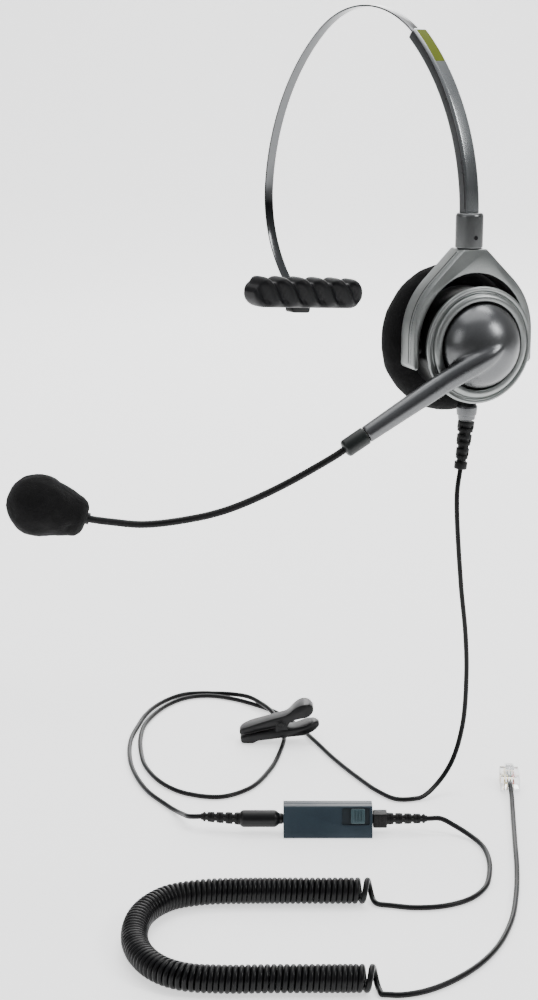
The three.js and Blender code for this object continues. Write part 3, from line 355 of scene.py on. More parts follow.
def add(name, bm, mat, matrix=Matrix(), smooth=35.0):
    """Object in metres from a bmesh made in millimetres in the frame that matrix places."""
    bmesh.ops.recalc_face_normals(bm, faces=bm.faces)
    bm.transform(matrix @ Matrix.Scale(MM, 4))
    data = bpy.data.meshes.new(name)
    bm.to_mesh(data)
    bm.free()
    data.shade_smooth()
    data.set_sharp_from_angle(angle=math.radians(smooth))
    data.materials.append(mat)
    return add_object(name, data)


def skin(bm, rings):
    """Closes a row of rings of points into one solid with flat ends."""
    count = len(rings[0])
    for p, q in zip(rings, rings[1:]):
        for i in range(count):
            j = (i + 1) % count
            bm.faces.new((p[i], p[j], q[j], q[i]))
    bm.faces.new(rings[0])
    bm.faces.new(rings[-1])


def fillet(points, radius, steps=4, closed=True):
    """Rounds the corners of an outline. A point may carry its own radius as a third value."""
    made = []
    count = len(points)
    for i, point in enumerate(points):
        p = Vector(point[:2])
        r = point[2] if len(point) > 2 else radius
        if r <= 0 or (not closed and i in (0, count - 1)):
            made.append(tuple(p))
            continue
        a = Vector(points[i - 1][:2]) - p
        b = Vector(points[(i + 1) % count][:2]) - p
        cut = min(r, 0.48 * a.length, 0.48 * b.length)
        start, end = p + a.normalized() * cut, p + b.normalized() * cut
        for k in range(steps + 1):
            t = k / steps
            made.append(tuple(start * (1 - t) ** 2 + p * 2 * t * (1 - t) + end * t * t))
    return made


def bow(a, b, c, t):
    """Point on the curve from a to c that b pulls towards itself."""
    return tuple(p * (1 - t) ** 2 + q * 2 * t * (1 - t) + r * t * t for p, q, r in zip(a, b, c))


def finely(points, step):
    """The same outline with more points, none more than about a step apart."""
    made = [points[0]]
    for a, b in zip(points, points[1:]):
        count = max(1, int(math.dist(a, b) / step))
        made += [(a[0] + (b[0] - a[0]) * k / count, a[1] + (b[1] - a[1]) * k / count)
                 for k in range(1, count + 1)]
    return made


def lathe(name, profile, mat, matrix=Matrix(), segments=96, closed=False, smooth=35.0):
    """Solid of revolution about local X from (x, radius) points."""
    bm = bmesh.new()
    rings = []
    for x, r in profile:
        if r < 1e-6:
            rings.append([bm.verts.new((x, 0, 0))])
            continue
        angles = [2 * math.pi * i / segments for i in range(segments)]
        rings.append([bm.verts.new((x, r * math.cos(a), r * math.sin(a))) for a in angles])
    pairs = list(zip(rings, rings[1:])) + ([(rings[-1], rings[0])] if closed else [])
    for p, q in pairs:
        for i in range(segments):
            j = (i + 1) % segments
            corners = list(dict.fromkeys((p[i % len(p)], p[j % len(p)], q[j % len(q)], q[i % len(q)])))
            if len(corners) > 2:
                bm.faces.new(corners)
    return add(name, bm, mat, matrix, smooth)


def prism(name, outline, low, high, mat, matrix=Matrix(), bevel=0.3, axes="xz", smooth=35.0):
    """Outline in two of the local axes, extruded along the third, with rounded edges."""
    bm = bmesh.new()

    def at(p, h):
        return {"xz": (p[0], h, p[1]), "yz": (h, p[0], p[1]), "xy": (p[0], p[1], h)}[axes]

    bottom = [bm.verts.new(at(p, low)) for p in outline]
    top = [bm.verts.new(at(p, high)) for p in outline]
    bm.faces.new(bottom)
    bm.faces.new(top)
    for i in range(len(outline)):
        j = (i + 1) % len(outline)
        bm.faces.new((bottom[i], bottom[j], top[j], top[i]))
    bmesh.ops.recalc_face_normals(bm, faces=bm.faces)
    if bevel > 0:
        rims = [e for e in bm.edges if all(v in bottom for v in e.verts) or all(v in top for v in e.verts)]
        bmesh.ops.bevel(bm, geom=rims, offset=bevel, segments=3, profile=0.5, affect="EDGES",
                        clamp_overlap=True)
    return add(name, bm, mat, matrix, smooth)


def catmull(points, per=10):
    """Smooth centripetal curve through points, with a few steps between each pair."""
    pts = [Vector(p) for p in points]
    pts = [pts[0] * 2 - pts[1]] + pts + [pts[-1] * 2 - pts[-2]]
    made = []
    for i in range(1, len(pts) - 2):
        p0, p1, p2, p3 = pts[i - 1:i + 3]
        t0 = 0.0
        t1 = max((p1 - p0).length, 1e-9) ** 0.5
        t2 = t1 + max((p2 - p1).length, 1e-9) ** 0.5
        t3 = t2 + max((p3 - p2).length, 1e-9) ** 0.5
        for k in range(per):
            t = t1 + (t2 - t1) * k / per
            a1 = p0 * ((t1 - t) / (t1 - t0)) + p1 * ((t - t0) / (t1 - t0))
            a2 = p1 * ((t2 - t) / (t2 - t1)) + p2 * ((t - t1) / (t2 - t1))
            a3 = p2 * ((t3 - t) / (t3 - t2)) + p3 * ((t - t2) / (t3 - t2))
            b1 = a1 * ((t2 - t) / (t2 - t0)) + a2 * ((t - t0) / (t2 - t0))
            b2 = a2 * ((t3 - t) / (t3 - t1)) + a3 * ((t - t1) / (t3 - t1))
            made.append(b1 * ((t2 - t) / (t2 - t1)) + b2 * ((t - t1) / (t2 - t1)))
    made.append(pts[-2].copy())
    return made


def length_of(points):
    return sum((Vector(b) - Vector(a)).length for a, b in zip(points, points[1:]))


def even(points, step):
    """The same line with points a fixed step apart."""
    total = length_of(points)
    count = max(2, round(total / step))
    made, walked, target, i = [Vector(points[0])], 0.0, total / count, 0
    while len(made) < count and i < len(points) - 1:
        a, b = Vector(points[i]), Vector(points[i + 1])
        gap = (b - a).length
        while walked + gap >= target * len(made) and len(made) < count and gap > 0:
            made.append(a.lerp(b, (target * len(made) - walked) / gap))
        walked += gap
        i += 1
    made.append(Vector(points[-1]))
    return made


def frames(points):
    """Tangent and two crosswise directions that don't twist, at each point."""
    tangents = []
    for i in range(len(points)):
        a, b = points[max(i - 1, 0)], points[min(i + 1, len(points) - 1)]
        tangents.append((Vector(b) - Vector(a)).normalized())
    side = tangents[0].cross(UP)
    side = side.normalized() if side.length > 0.05 else Vector((1, 0, 0))
    made = []
    for t in tangents:
        side = (side - t * side.dot(t)).normalized()
        made.append((t, side, t.cross(side)))
    return made


def sweep(name, points, section, mat, matrix=Matrix(), fixed=None, smooth=35.0):
    """Section (across, up) carried along points in millimetres. fixed is the across direction."""
    bm = bmesh.new()
    rings = []
    for p, (t, side, other) in zip(points, frames(points)):
        if fixed is not None:
            side = Vector(fixed)
            other = t.cross(side).normalized()
        rings.append([bm.verts.new(Vector(p) + side * a + other * b) for a, b in section])
    skin(bm, rings)
    return add(name, bm, mat, matrix, smooth)


def tube(name, points, radii, mat, matrix=Matrix(), sides=48, smooth=60.0):
    """Round rod along points in millimetres, with its own radius at each point."""
    bm = bmesh.new()
    rings = []
    angles = [2 * math.pi * i / sides for i in range(sides)]
    for p, r, (_, side, up) in zip(points, radii, frames(points)):
        rings.append([bm.verts.new(p + side * r * math.cos(a) + up * r * math.sin(a)) for a in angles])
    skin(bm, rings)
    return add(name, bm, mat, matrix, smooth)


def apply_modifiers(obj):
    """Bakes the object's modifiers into its mesh."""
    graph = bpy.context.evaluated_depsgraph_get()
    data = bpy.data.meshes.new_from_object(obj.evaluated_get(graph))
    obj.modifiers.clear()
    obj.data = data


def joined(name, objects):
    """One object out of several."""
    bm = bmesh.new()
    slots = list(objects[0].data.materials)
    for obj in objects:
        bm.from_mesh(obj.data)
        bpy.data.objects.remove(obj)
    data = bpy.data.meshes.new(name)
    bm.to_mesh(data)
    bm.free()
    for mat in slots:
        data.materials.append(mat)
    return add_object(name, data)


def roughen(obj, amount, scale, seed=0.0):
    """Moves points along their normals by smooth noise."""
    data = obj.data
    normals = [v.normal.copy() for v in data.vertices]
    for v, n in zip(data.vertices, normals):
        v.co += n * amount * noise.noise(v.co * scale + Vector((seed, seed * 1.7, seed * 0.3)))
    data.update()


def place(obj, body, nodes=()):
    """Puts a piece on its body, in place of the CAD nodes that it shows."""
    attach(obj, body)
    if nodes:
        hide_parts(*nodes)
    return obj


# ---------------------------------------------------------------- cords

CORD_D = 0.002
COIL_R = 4.7
LOW = -309.0  # middle of a cord that lies on the table
AXIS_LEVEL = -304.3  # height of the plug's axis above the origin, in millimetres
HEADSET_CORD = [
    (64, -2.2, -177), (64, -3.6, -187), (65.2, -1.6, -222), (66.2, 0.9, -245), (66.4, 1.8, -262),
    (66.2, 0.6, -283), (66, -4.5, -297.5), (66.4, -13, -305.5), (66.8, -22.5, LOW), (62.5, -30.5, LOW),
    (52, -31.5, LOW), (36, -28.8, LOW), (14, -23.6, LOW), (-9, -16.6, LOW), (-29, -11, LOW),
    (-47, -9, LOW), (-61, -10.8, LOW), (-73, -14.4, LOW), (-81, -19.2, LOW), (-85.2, -25.4, LOW),
    (-86.2, -32, LOW), (-84.2, -41, LOW), (-79, -51.4, LOW), (-69.4, -64.2, LOW), (-58.2, -74, LOW),
    (-44, -83.4, LOW), (-27, -92, LOW), (-8, -96.4, LOW), (6, -94.8, LOW),
    (17.4, -86, LOW), (17.6, -71.5, LOW), (6, -51.5, LOW), (-8, -35.6, LOW), (-18, -26, LOW),
    (-27, -19.4, LOW), (-35.5, -15.6, -308.4), (-45, -12.6, -307.1), (-55, -10.9, -306.7),
    (-65, -10.4, -306.7), (-76, -12.6, -308), (-84, -17, LOW), (-88.4, -22.6, LOW), (-90.8, -28.6, LOW),
    (-89.9, -37.2, LOW), (-85.6, -47.8, LOW), (-79, -57.6, LOW), (-70.6, -66.8, LOW), (-57, -80, LOW),
    (-38, -92.8, LOW), (-21, -100.8, LOW), (-4, -106, LOW), (13, -107.8, LOW), (21, -108.8, -308.3),
    (27.5, -110.4, -306.8), (32, -111.6, -305.6), (35, -111.2, -304.8), (37.6, -109.3, AXIS_LEVEL),
]
BOX_CORD = [
    (92.4, -40.6, AXIS_LEVEL), (95.2, -37.2, -304.2), (100, -34, -306.4), (106.5, -32.2, -308.5),
    (115, -34, LOW), (125, -40, LOW), (135, -49, LOW), (142.6, -58.5, LOW), (146, -69, LOW),
    (144.6, -80, LOW), (139, -89.5, LOW), (131, -96.2, LOW),
]
CURLY_CORD = [
    (126, -97), (117, -109), (107.5, -121.5), (98.5, -133.5), (90.5, -146), (87, -158), (91, -171),
    (101.5, -182), (114, -188.5), (127, -190), (137, -186.5), (145.5, -178), (155, -165),
    (165.5, -151), (176, -137),
]
LEAD_CORD = [
    (178.8, -138.6, LOW), (183, -134.5, LOW), (186, -127, LOW), (186.6, -116, LOW), (184, -101, LOW),
    (178, -86, LOW), (167, -69, LOW), (153, -53, LOW), (138, -38, LOW), (119, -20.5, LOW),
    (100, -3, LOW), (88.5, 7.5, -308.2), (82.3, 12.7, -307.4),
]


def cord_curve(name, points):
    """Round cord along points in millimetres."""
    data = bpy.data.curves.new(name, "CURVE")
    data.dimensions = "3D"
    data.bevel_depth = CORD_D / 2
    data.bevel_resolution = 3
    data.use_fill_caps = True
    spline = data.splines.new("POLY")
    spline.points.add(len(points) - 1)
    for point, p in zip(spline.points, points):
        point.co = (*(p * MM), 1.0)
    data.materials.append(CORD)
    return add_object(name, data)


def grounded(points):
    """The same line, with nothing of it under the table top."""
    return [Vector((p[0], p[1], max(p[2], LOW))) for p in points]


COIL_TURNS = 104
STEPS_PER_TURN = 18


def coil(middle):
    """Helix wound round a middle line, a little looser at both ends, that starts and ends low."""
    line = even(catmull(middle, 16), 0.5)
    around = frames(line)
    radius = COIL_R - CORD_D / MM / 2
    count = COIL_TURNS * STEPS_PER_TURN
    gaps = []
    for k in range(count):
        away = min(k, count - 1 - k) / STEPS_PER_TURN
        uneven = 0.12 * math.sin(k * 0.013) * math.sin(k * 0.0047)
        gaps.append(1 + 1.6 * math.exp(-(away / 1.1) ** 2) + uneven)
    total, s, made = sum(gaps), 0.0, []
    for k in range(count + 1):
        share = min(s / total, 1.0) * (len(line) - 1)
        i = min(int(share), len(line) - 2)
        angle = 2 * math.pi * k / STEPS_PER_TURN - math.pi / 2
        out = line[i].lerp(line[i + 1], share - i) + around[i][1] * radius * math.cos(angle)
        made.append(out + UP * radius * math.sin(angle))
        s += gaps[min(k, count - 1)]
    return made


def bridge(a, b, pull, steps=14):
    """Smooth run between the last two points of one line and the first two of the next."""
    out = a[-1] + (a[-1] - a[-2]).normalized() * pull
    back = b[0] - (b[1] - b[0]).normalized() * pull
    made = []
    for i in range(1, steps):
        t = i / steps
        near = a[-1] * (1 - t) ** 3 + out * 3 * t * (1 - t) ** 2
        made.append(near + back * 3 * t * t * (1 - t) + b[0] * t ** 3)
    return made


CORD_STEP = 1.2
COIL_BEND = 4.5
INSIDE_CUP_RELIEF = Vector((64, -1.2, -171))
INSIDE_BOX_RELIEF = (AXIS @ Vector((0.033, 0, 0))) / MM
INSIDE_MODULAR_PLUG = (PLUG @ Vector((0.003, 0, 0.0026))) / MM
headset_line = grounded(even(catmull([INSIDE_CUP_RELIEF] + HEADSET_CORD, 12), CORD_STEP))
headset_cord = cord_curve("headset_cord_jacket", headset_line)
lead_in = even(catmull([INSIDE_BOX_RELIEF] + BOX_CORD, 12), CORD_STEP)[:-3]
lead_out = even(catmull(LEAD_CORD + [INSIDE_MODULAR_PLUG], 12), CORD_STEP)[3:]
curl = coil([(x, y, TABLE_Z / MM + COIL_R) for x, y in CURLY_CORD])
into_coil, out_of_coil = bridge(lead_in, curl, COIL_BEND), bridge(curl, lead_out, COIL_BEND)
box_line = grounded(lead_in + into_coil + curl + out_of_coil + lead_out)
box_cord = cord_curve("curly_cord_jacket", box_line)

# ---------------------------------------------------------------- headband


def arc(circle, start, end, steps, out=0.0):
    """Points of a circle (centre x, centre z, radius) between two angles in degrees."""
    x, z, radius = circle
    angles = [math.radians(start + (end - start) * i / steps) for i in range(steps + 1)]
    return [Vector((x + (radius + out) * math.cos(a), 0, z + (radius + out) * math.sin(a))) for a in angles]


def touching(circle, degrees, radius):
    """Circle of another radius that runs on from the first one at an angle."""
    cx, cz, r = circle
    a = math.radians(degrees)
    return (cx + (r - radius) * math.cos(a), cz + (r - radius) * math.sin(a), radius)


CROWN = (1.7, -47.4, 47.4)
CUP_SIDE = touching(CROWN, 49, 88.5)
PAD_SIDE = touching(CROWN, 127.5, 93)
PAD_ARC = touching(PAD_SIDE, 174, 52)


def headband():
    line = arc(CUP_SIDE, 27, 49, 20)
    line += arc(CROWN, 49, 127.5, 48)[1:]
    line += arc(PAD_SIDE, 127.5, 174, 40)[1:]
    line += arc(PAD_ARC, 174, 229, 32)[1:]
    section = fillet([(-2.1, -0.34), (2.1, -0.34), (2.1, 0.34), (-2.1, 0.34)], 0.2, 3)
    band = sweep("band_strip", line, section, STEEL, fixed=(0, 1, 0))
    ring = fillet([(-2.1, 1.0), (-2.1, 1.7), (2.1, 1.7), (2.1, 1.0)], 0.2, 3)
    across = frame_at(JOINTS["temple_pad_tilt"]["pos_m"], (0, 1, 0), (1, 0, 0))
    eye = lathe("band_eye", ring, STEEL, across, 40, closed=True)
    place(joined("headband_strip", [band, eye]), "band", ["headband_spring"])


SLEEVE_FOOT, SLEEVE_TOP = 1.0, 50.6
SLEEVE_STEPS = 70


def sleeve():
    """Curved housing that rounds off at its top, with its label and a fine seam along each side."""
    t, w = 2.3, 3.6
    section = fillet([
        (-w, -t + 0.5), (-w + 0.6, -t), (w - 0.6, -t), (w, -t + 0.5), (w, t - 0.9), (w - 0.9, t),
        (-w + 0.9, t), (-w, t - 0.9),
    ], 0.35, 3)
    bm = bmesh.new()
    rings = []
    for k, p in enumerate(arc(CUP_SIDE, SLEEVE_FOOT, SLEEVE_TOP, SLEEVE_STEPS)):
        out = (p - Vector((CUP_SIDE[0], 0, CUP_SIDE[1]))).normalized()
        rest = math.radians(SLEEVE_TOP - SLEEVE_FOOT) * CUP_SIDE[2] * (1 - k / SLEEVE_STEPS)
        end = min(1.0, rest / 1.6)
        grow = 0.72 + 0.28 * math.sqrt(max(0.0, 1 - (1 - end) ** 2))
        rings.append([bm.verts.new(p + Vector((0, a * grow, 0)) + out * (b * grow)) for a, b in section])
    skin(bm, rings)
    body = add("sleeve_shell", bm, BRIGHT, smooth=28)
    # Painted shade: faces that point front or back take the darker gunmetal, the outer and inner faces the
    # bright silver.
    body.data.materials.append(GUNMETAL)
    for face in body.data.polygons:
        face.material_index = 1 if abs(face.normal.y) > 0.72 else 0
    place(body, "headband", ["headband_sleeve"])
    strip = fillet([(-2.4, 0), (2.4, 0), (2.4, 0.3), (-2.4, 0.3)], 0.12, 2)
    label = sweep("label_strip", arc(CUP_SIDE, 39.4, 49.6, 16, 2.34), strip, LIME, fixed=(0, 1, 0))
    place(label, "headband", ["colour_label"])
    bead = fillet([(-0.12, -0.12), (0.12, -0.12), (0.12, 0.12), (-0.12, 0.12)], 0.08, 2)
    for side, name in ((-1, "sleeve_seam_front"), (1, "sleeve_seam_rear")):
        seam = [p + Vector((0, side * 3.58, 0)) for p in arc(CUP_SIDE, 2, 48, 60, 1.25)]
        place(sweep(name, seam, bead, PLASTIC), "headband")


SCREW_HEIGHT = 4.0
STEM_GAP = 0.35


def swivel_collar():
    """Barrel with a blind bore for the swivel stem, and a black disc painted as the shade in the hole of its
    set screw.
    """
    low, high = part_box("collar")
    stem_low, stem_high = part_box("swivel_stem")
    r = (high[0] - low[0]) / 2 / MM
    length = (high[2] - low[2]) / MM
    bore = (stem_high[1] - stem_low[1]) / 2 / MM + STEM_GAP
    middle = (low[0] + high[0]) / 2
    stand = frame_at((middle, 0, low[2]), (0, 0, 1), (1, 0, 0))
    profile = fillet([
        (0, bore, 0.2), (0, r, 0.4), (length * 0.93, r, 0.8), (length, r - 0.7, 0.4), (length, 0.0),
    ], 0.3, 5, closed=False)
    profile += [(length - 3, 0.0), (length - 3, bore)]
    place(lathe("swivel_collar", profile, BOOM_METAL, stand, 96, closed=True), "headband",
          ["collar"])
    out = frame_at((middle, 0, low[2] + SCREW_HEIGHT * MM), CUP_X, UP.cross(CUP_X))
    # Painted shade: the screw hole is a black disc flush with the barrel, in a gunmetal rim.
    for name, mat, radius, proud, nodes in (
            ("collar_screw_rim", GUNMETAL, 1.0, 0.02, ()),
            ("collar_screw_hole_painted_shade", PLASTIC, 0.78, 0.04, ["collar_screw"])):
        disc = [(r - 0.6, 0.0), (r - 0.6, radius), (r + proud, radius), (r + proud + 0.02, 0.0)]
        place(lathe(name, disc, mat, out, 32), "headband", nodes)


# ---------------------------------------------------------------- temple pad


RIB_PITCH = 10.0
RIB_SHARE = 0.74
RIB_SLANT = 0.62


def temple_pad():
    """Rubber bar with slanting ribs, round at both ends and flat below."""
    bm = bmesh.new()
    half, height, x0, x1 = 29.4, 6.3, -1.6, 10.4
    around, along = 56, 150
    rings = []
    for i in range(along + 1):
        y = -half + 2 * half * i / along
        end = max(0.0, abs(y) - (half - height)) / height
        size = math.sqrt(max(0.0, 1 - end * end))
        ring = []
        for k in range(around):
            a = 2 * math.pi * k / around
            c, s = math.cos(a), math.sin(a)
            z = height * size * math.copysign(math.sqrt(abs(s)), s)
            x = (x0 + x1) / 2 + (x1 - x0) / 2 * (0.55 + 0.45 * size) * math.copysign(math.sqrt(abs(c)), c)
            wave = (y + z * RIB_SLANT + 4.4) / RIB_PITCH % 1.0
            ridge = math.sin(math.pi * wave / RIB_SHARE) ** 0.7 if wave < RIB_SHARE else 0.0
            flat = max(0.0, min(1.0, (s + 0.85) / 0.5))
            lift = (2.3 * ridge - 1.8) * size * flat * (1.0 if c > -0.8 else 0.2)
            p = Vector((x, y + 1.2, z + 0.8)) + Vector((c, 0, s)) * lift
            p.x = max(p.x, x0)
            ring.append(bm.verts.new(p))
        rings.append(ring)
    skin(bm, rings)
    grip = add("temple_pad_foam", bm, PAD_RUBBER, PAD, 60)
    place(grip, "temple_pad", ["temple_pad_grip"])
    lug = fillet([(-3.7, -8.0), (6.1, -8.0), (6.1, -3), (-3.7, -3)], 1.4, 5)
    place(prism("temple_pad_boss", lug, -1.6, 3.6, PLASTIC, PAD, 0.4, "yz"), "temple_pad",
          ["temple_pad_core"])


# ---------------------------------------------------------------- ear cup


def yoke():
    """Fork that stands over the cup, with a black bead painted as the shade of a groove and a bright silver
    bead painted as a highlight, round its outer side.
    """
    shoulder = [bow((17, 24.2), (25.6, 15.6), (25.8, 3), i / 16) for i in range(17)]
    crotch = [math.pi * (1 - i / 40) for i in range(1, 40)]
    outline = [(4.8, 36.2, 0.6), (-4.8, 36.2, 0.6)] + [(-y, z, 0) for y, z in shoulder]
    outline += [(-25.8, -7.6, 1.25), (-25.0, -8.75, 0.6), (-23.9, -8.75, 0.6), (-23.3, -7.6, 0.8),
                (-23.3, 0, 3)]
    outline += [(23.3 * math.cos(a), 27 * math.sin(a), 0) for a in crotch]
    outline += [(23.3, 0, 3), (23.3, -7.6, 0.8), (23.9, -8.75, 0.6), (25.0, -8.75, 0.6), (25.8, -7.6, 1.25)]
    outline += [(y, z, 0) for y, z in reversed(shoulder)]
    plate = prism("yoke_fork", fillet(outline, 0, 6), -7, 4, SILVER, CUP, 0.7, "yz", smooth=30)
    place(plate, "yoke_fork", ["yoke"])
    edge = [(6, 35.1)] + shoulder + [(25.8, -6.6)]
    bead = fillet([(-0.16, -0.1), (0.16, -0.1), (0.16, 0.1), (-0.16, 0.1)], 0.06, 2)
    # Painted shade and painted highlight: a black bead where a groove's shade would fall, a bright silver
    # bead as the highlight beside it.
    for side, end in ((-1, "front"), (1, "rear")):
        for k, (x, mat, slot) in enumerate(((-0.4, PLASTIC, "black_plastic"), (1.3, BRIGHT, "satin_silver"))):
            line = [Vector((x, side * y, z)) for y, z in edge]
            place(sweep(f"yoke_line_{end}_{k + 1}", line, bead, mat, CUP), "yoke_fork")


def ring_and_housing():
    """Stepped rim, thin shell with its two pivot bosses, and the stub that the cord leaves by."""
    ring = fillet([
        (6.9, 16.9, 0.2), (6.9, 22.4, 0.4), (8.9, 22.7, 0.7), (9.4, 22.0, 0.4), (9.15, 21.0, 0.25),
        (8.55, 20.7, 0.2), (8.75, 20.25, 0.2), (10.1, 20.0, 0.9), (10.9, 18.8, 0.9), (10.7, 17.2, 0.5),
        (10.0, 16.9, 0.3),
    ], 0.3, 5)
    place(lathe("bezel", ring, SILVER, CUP, 128, closed=True, smooth=50), "ear_cup",
          ["bezel_ring"])
    back, front, radius = -7.0, 6.6, 21.2
    shell = fillet([
        (front - 1.8, 2.6), (front - 1.8, radius - 1.8), (back, radius - 1.8), (back, radius, 0.3),
        (front - 1.2, radius, 0.6), (front, radius - 0.8, 0.5), (front, 2.6),
    ], 0.2, 4)
    shell = lathe("housing_shell", shell, PLASTIC, CUP, 128, closed=True)
    bosses = []
    for side in (-1, 1):
        pivot = CUP @ frame_at((-1.5 * MM, 0, 0), (0, side, 0), (1, 0, 0))
        profile = fillet([(20.2, 3.4), (22.8, 3.4), (22.8, 0.0)], 0.4, 4, closed=False)
        bosses.append(lathe("boss", [(20.2, 0.0)] + profile, PLASTIC, pivot, 40))
    place(joined("housing", [shell] + bosses), "ear_cup", ["cup_housing"])
    gland = fillet([
        (24, 1.4), (24, 3.4, 0.3), (25.2, 4.2, 0.4), (28.4, 3.9, 0.3), (28.8, 3.5, 0.2), (30.4, 3.3, 0.3),
        (30.4, 1.4),
    ], 0.2, 4)
    down = CUP @ frame_at((0, 0, 0), (0, 0, -1), (0, 1, 0))
    place(lathe("gland_nut", gland, GUNMETAL, down, 72, closed=True), "ear_cup",
          ["cable_gland"])


BOOM_ROOT, BOOM_TIP = Vector((17.6, 0, -0.6)), Vector((10, -57.6, -35.6))
BOOM_AIM = (BOOM_TIP - BOOM_ROOT).normalized()
BOOM_LENGTH = (BOOM_TIP - BOOM_ROOT).length
ROD_LENGTH = BOOM_LENGTH * 0.85
ROD_STEPS = 110


def boom_rod():
    """Tapered rod whose pointed root rides up onto the dome."""
    nose = [(-5.2, 0.3), (-4.6, 0.9), (-3.5, 1.6), (-1.5, 2.65), (1.0, 3.5), (4.0, 4.15), (8.0, 4.4)]
    line, radii = [], []
    for i in range(ROD_STEPS + 1):
        s = nose[0][0] + (ROD_LENGTH - nose[0][0]) * i / ROD_STEPS
        lift = max(0.0, min(1.0, (26 - s) / 24))
        line.append(BOOM_ROOT + BOOM_AIM * s + Vector((2.7 * lift * lift * (3 - 2 * lift), 0, 0)))
        r = 4.4 - 1.05 * max(0.0, s - 8) / (ROD_LENGTH - 8)
        for (s0, r0), (s1, r1) in zip(nose, nose[1:]):
            if s0 <= s < s1:
                r = r0 + (r1 - r0) * (s - s0) / (s1 - s0)
        radii.append(r)
    return tube("rod_raw", line, radii, GUNMETAL, CUP, 64)


def dome_and_boom():
    """Domed hub with the boom growing out of it in one flowing shape."""
    base, top, radius = 10.9, 22.2, 16.3
    rise = top - base
    sphere = (radius ** 2 + rise ** 2) / (2 * rise)
    spread = math.asin(radius / sphere)
    cap = []
    for i in range(25):
        a = spread * (1 - i / 24)
        cap.append((top - sphere + sphere * math.cos(a), sphere * math.sin(a) if i < 24 else 0.0))
    dome = lathe("dome_raw", [(7.8, 0.0), (7.8, radius)] + cap, GUNMETAL, CUP, 128)
    both = joined("hub_and_boom", [dome, boom_rod()])
    remesh = both.modifiers.new("remesh", "REMESH")
    remesh.mode = "VOXEL"
    remesh.voxel_size = 0.00042
    apply_modifiers(both)
    data = both.data
    data.materials.clear()
    data.materials.append(GUNMETAL)
    # soften the corner where the boom springs from the dome, then the whole a little
    inverse = (CUP @ Matrix.Scale(MM, 4)).inverted()
    bm = bmesh.new()
    bm.from_mesh(data)
    soft = []
    for v in bm.verts:
        p = inverse @ v.co
        s = (p - BOOM_ROOT).dot(BOOM_AIM)
        off = (p - BOOM_ROOT - BOOM_AIM * s).length
        if -10 < s < 24 and off < 9.5 and p.x > 9.5:
            soft.append(v)
    for verts in [soft] * 14 + [list(bm.verts)] * 3:
        bmesh.ops.smooth_vert(bm, verts=verts, factor=0.5, use_axis_x=True, use_axis_y=True, use_axis_z=True)
    for f in bm.faces:
        f.smooth = True
    bm.to_mesh(data)
    bm.free()
    place(both, "boom", ["hub_dome", "boom_tube"])
    stand = CUP @ frame_at(BOOM_ROOT * MM, BOOM_AIM, BOOM_AIM.cross(Vector((1, 0, 0))))
    start, end = ROD_LENGTH + 0.3, BOOM_LENGTH
    cap = fillet([(start, 0.0), (start, 3.5, 0.4), (end - 0.8, 3.5, 0.9), (end, 2.4, 0.7), (end, 0.0)],
                 0.3, 5, closed=False)
    place(lathe("boom_cap", cap, GREEN_BLACK, stand, 64), "boom", ["boom_end_sleeve"])


CORE_SHARE = 0.7
CORD_BORE = 1.05


def ribbed(name, start, end, thick, thin, ribs, matrix, flange=0.0):
    """Moulded strain relief: rings with staggered gaps, round a core, tapering to the cord."""
    pitch = (end - start) / ribs
    parts = []
    for i in range(ribs):
        r = thick + (thin - thick) * i / (ribs - 1)
        x = start + i * pitch
        core, back = CORE_SHARE * r, x + pitch * 0.56
        ring = fillet([(x, core), (x, r, 0.25), (back, r * 0.985, 0.25), (back, core)], 0.15, 3)
        parts.append(lathe("ring", ring, RUBBER, matrix, 40, closed=True))
        if i == ribs - 1 and not flange:
            continue
        w = 0.34 * r
        strut = fillet([(-w, core * 0.9), (w, core * 0.9), (w, r * 0.96), (-w, r * 0.96)], 0.15, 2)
        for side in (0, 1):
            spot = matrix @ Matrix.Rotation(math.pi * side + (math.pi / 2 if i % 2 else 0), 4, "X")
            parts.append(prism("strut", strut, x + pitch * 0.4, x + pitch * 1.1, RUBBER, spot, 0, "yz"))
    tail = [(start, CORD_BORE), (start, CORE_SHARE * thick), (end, CORE_SHARE * thin), (end, CORD_BORE)]
    parts.append(lathe("core", tail, RUBBER, matrix, 32, closed=True))
    if flange:
        ring = fillet([(end, CORD_BORE), (end, flange, 0.3), (end + 3, flange * 0.96, 0.4),
                       (end + 3, CORD_BORE)], 0.2, 3)
        parts.append(lathe("flange", ring, RUBBER, matrix, 40, closed=True))
    return joined(name, parts)


def cup_strain_relief():
    """Hangs from the stub and leans a little forwards."""
    lean = math.radians(6.5)
    aim = Vector((0, -math.sin(lean), -math.cos(lean)))
    stand = CUP @ frame_at((0, 0, -30.4 * MM), aim, (1, 0, 0))
    piece = ribbed("cup_strain_relief", 0.6, 16.8, 3.3, 2.4, 6, stand, 2.6)
    place(piece, "ear_cup", ["strain_relief"])


def ear_cushion():
    """Crowned foam pad, and the rim of the plate that it is stretched over."""
    rear = -8.4
    section = fillet([
        (rear, 0.0), (rear, 21.5), (rear - 0.8, 25.8, 3), (rear - 3.2, 28.6, 3), (rear - 6.8, 29.6, 3),
        (rear - 10.3, 28.6, 3), (rear - 13, 25.6, 3), (rear - 14.2, 21, 3), (rear - 13.6, 15, 3),
        (rear - 11.6, 9, 2), (rear - 11.6, 0.0),
    ], 1.0, 6, closed=False)
    cushion = lathe("cushion_foam", finely(section, 0.5), FOAM, CUP, 220, smooth=60)
    roughen(cushion, 0.00035, 170)
    roughen(cushion, 0.00012, 900, 3.0)
    place(cushion, "ear_cup", ["ear_cushion"])
    ring = fillet([(-8.3, 20.6), (-8.3, 21.1), (-7.3, 21.1), (-7.3, 20.6)], 0.15, 3)
    place(lathe("cushion_rim", ring, PLASTIC, CUP, 96, closed=True), "ear_cup",
          ["cushion_plate"])


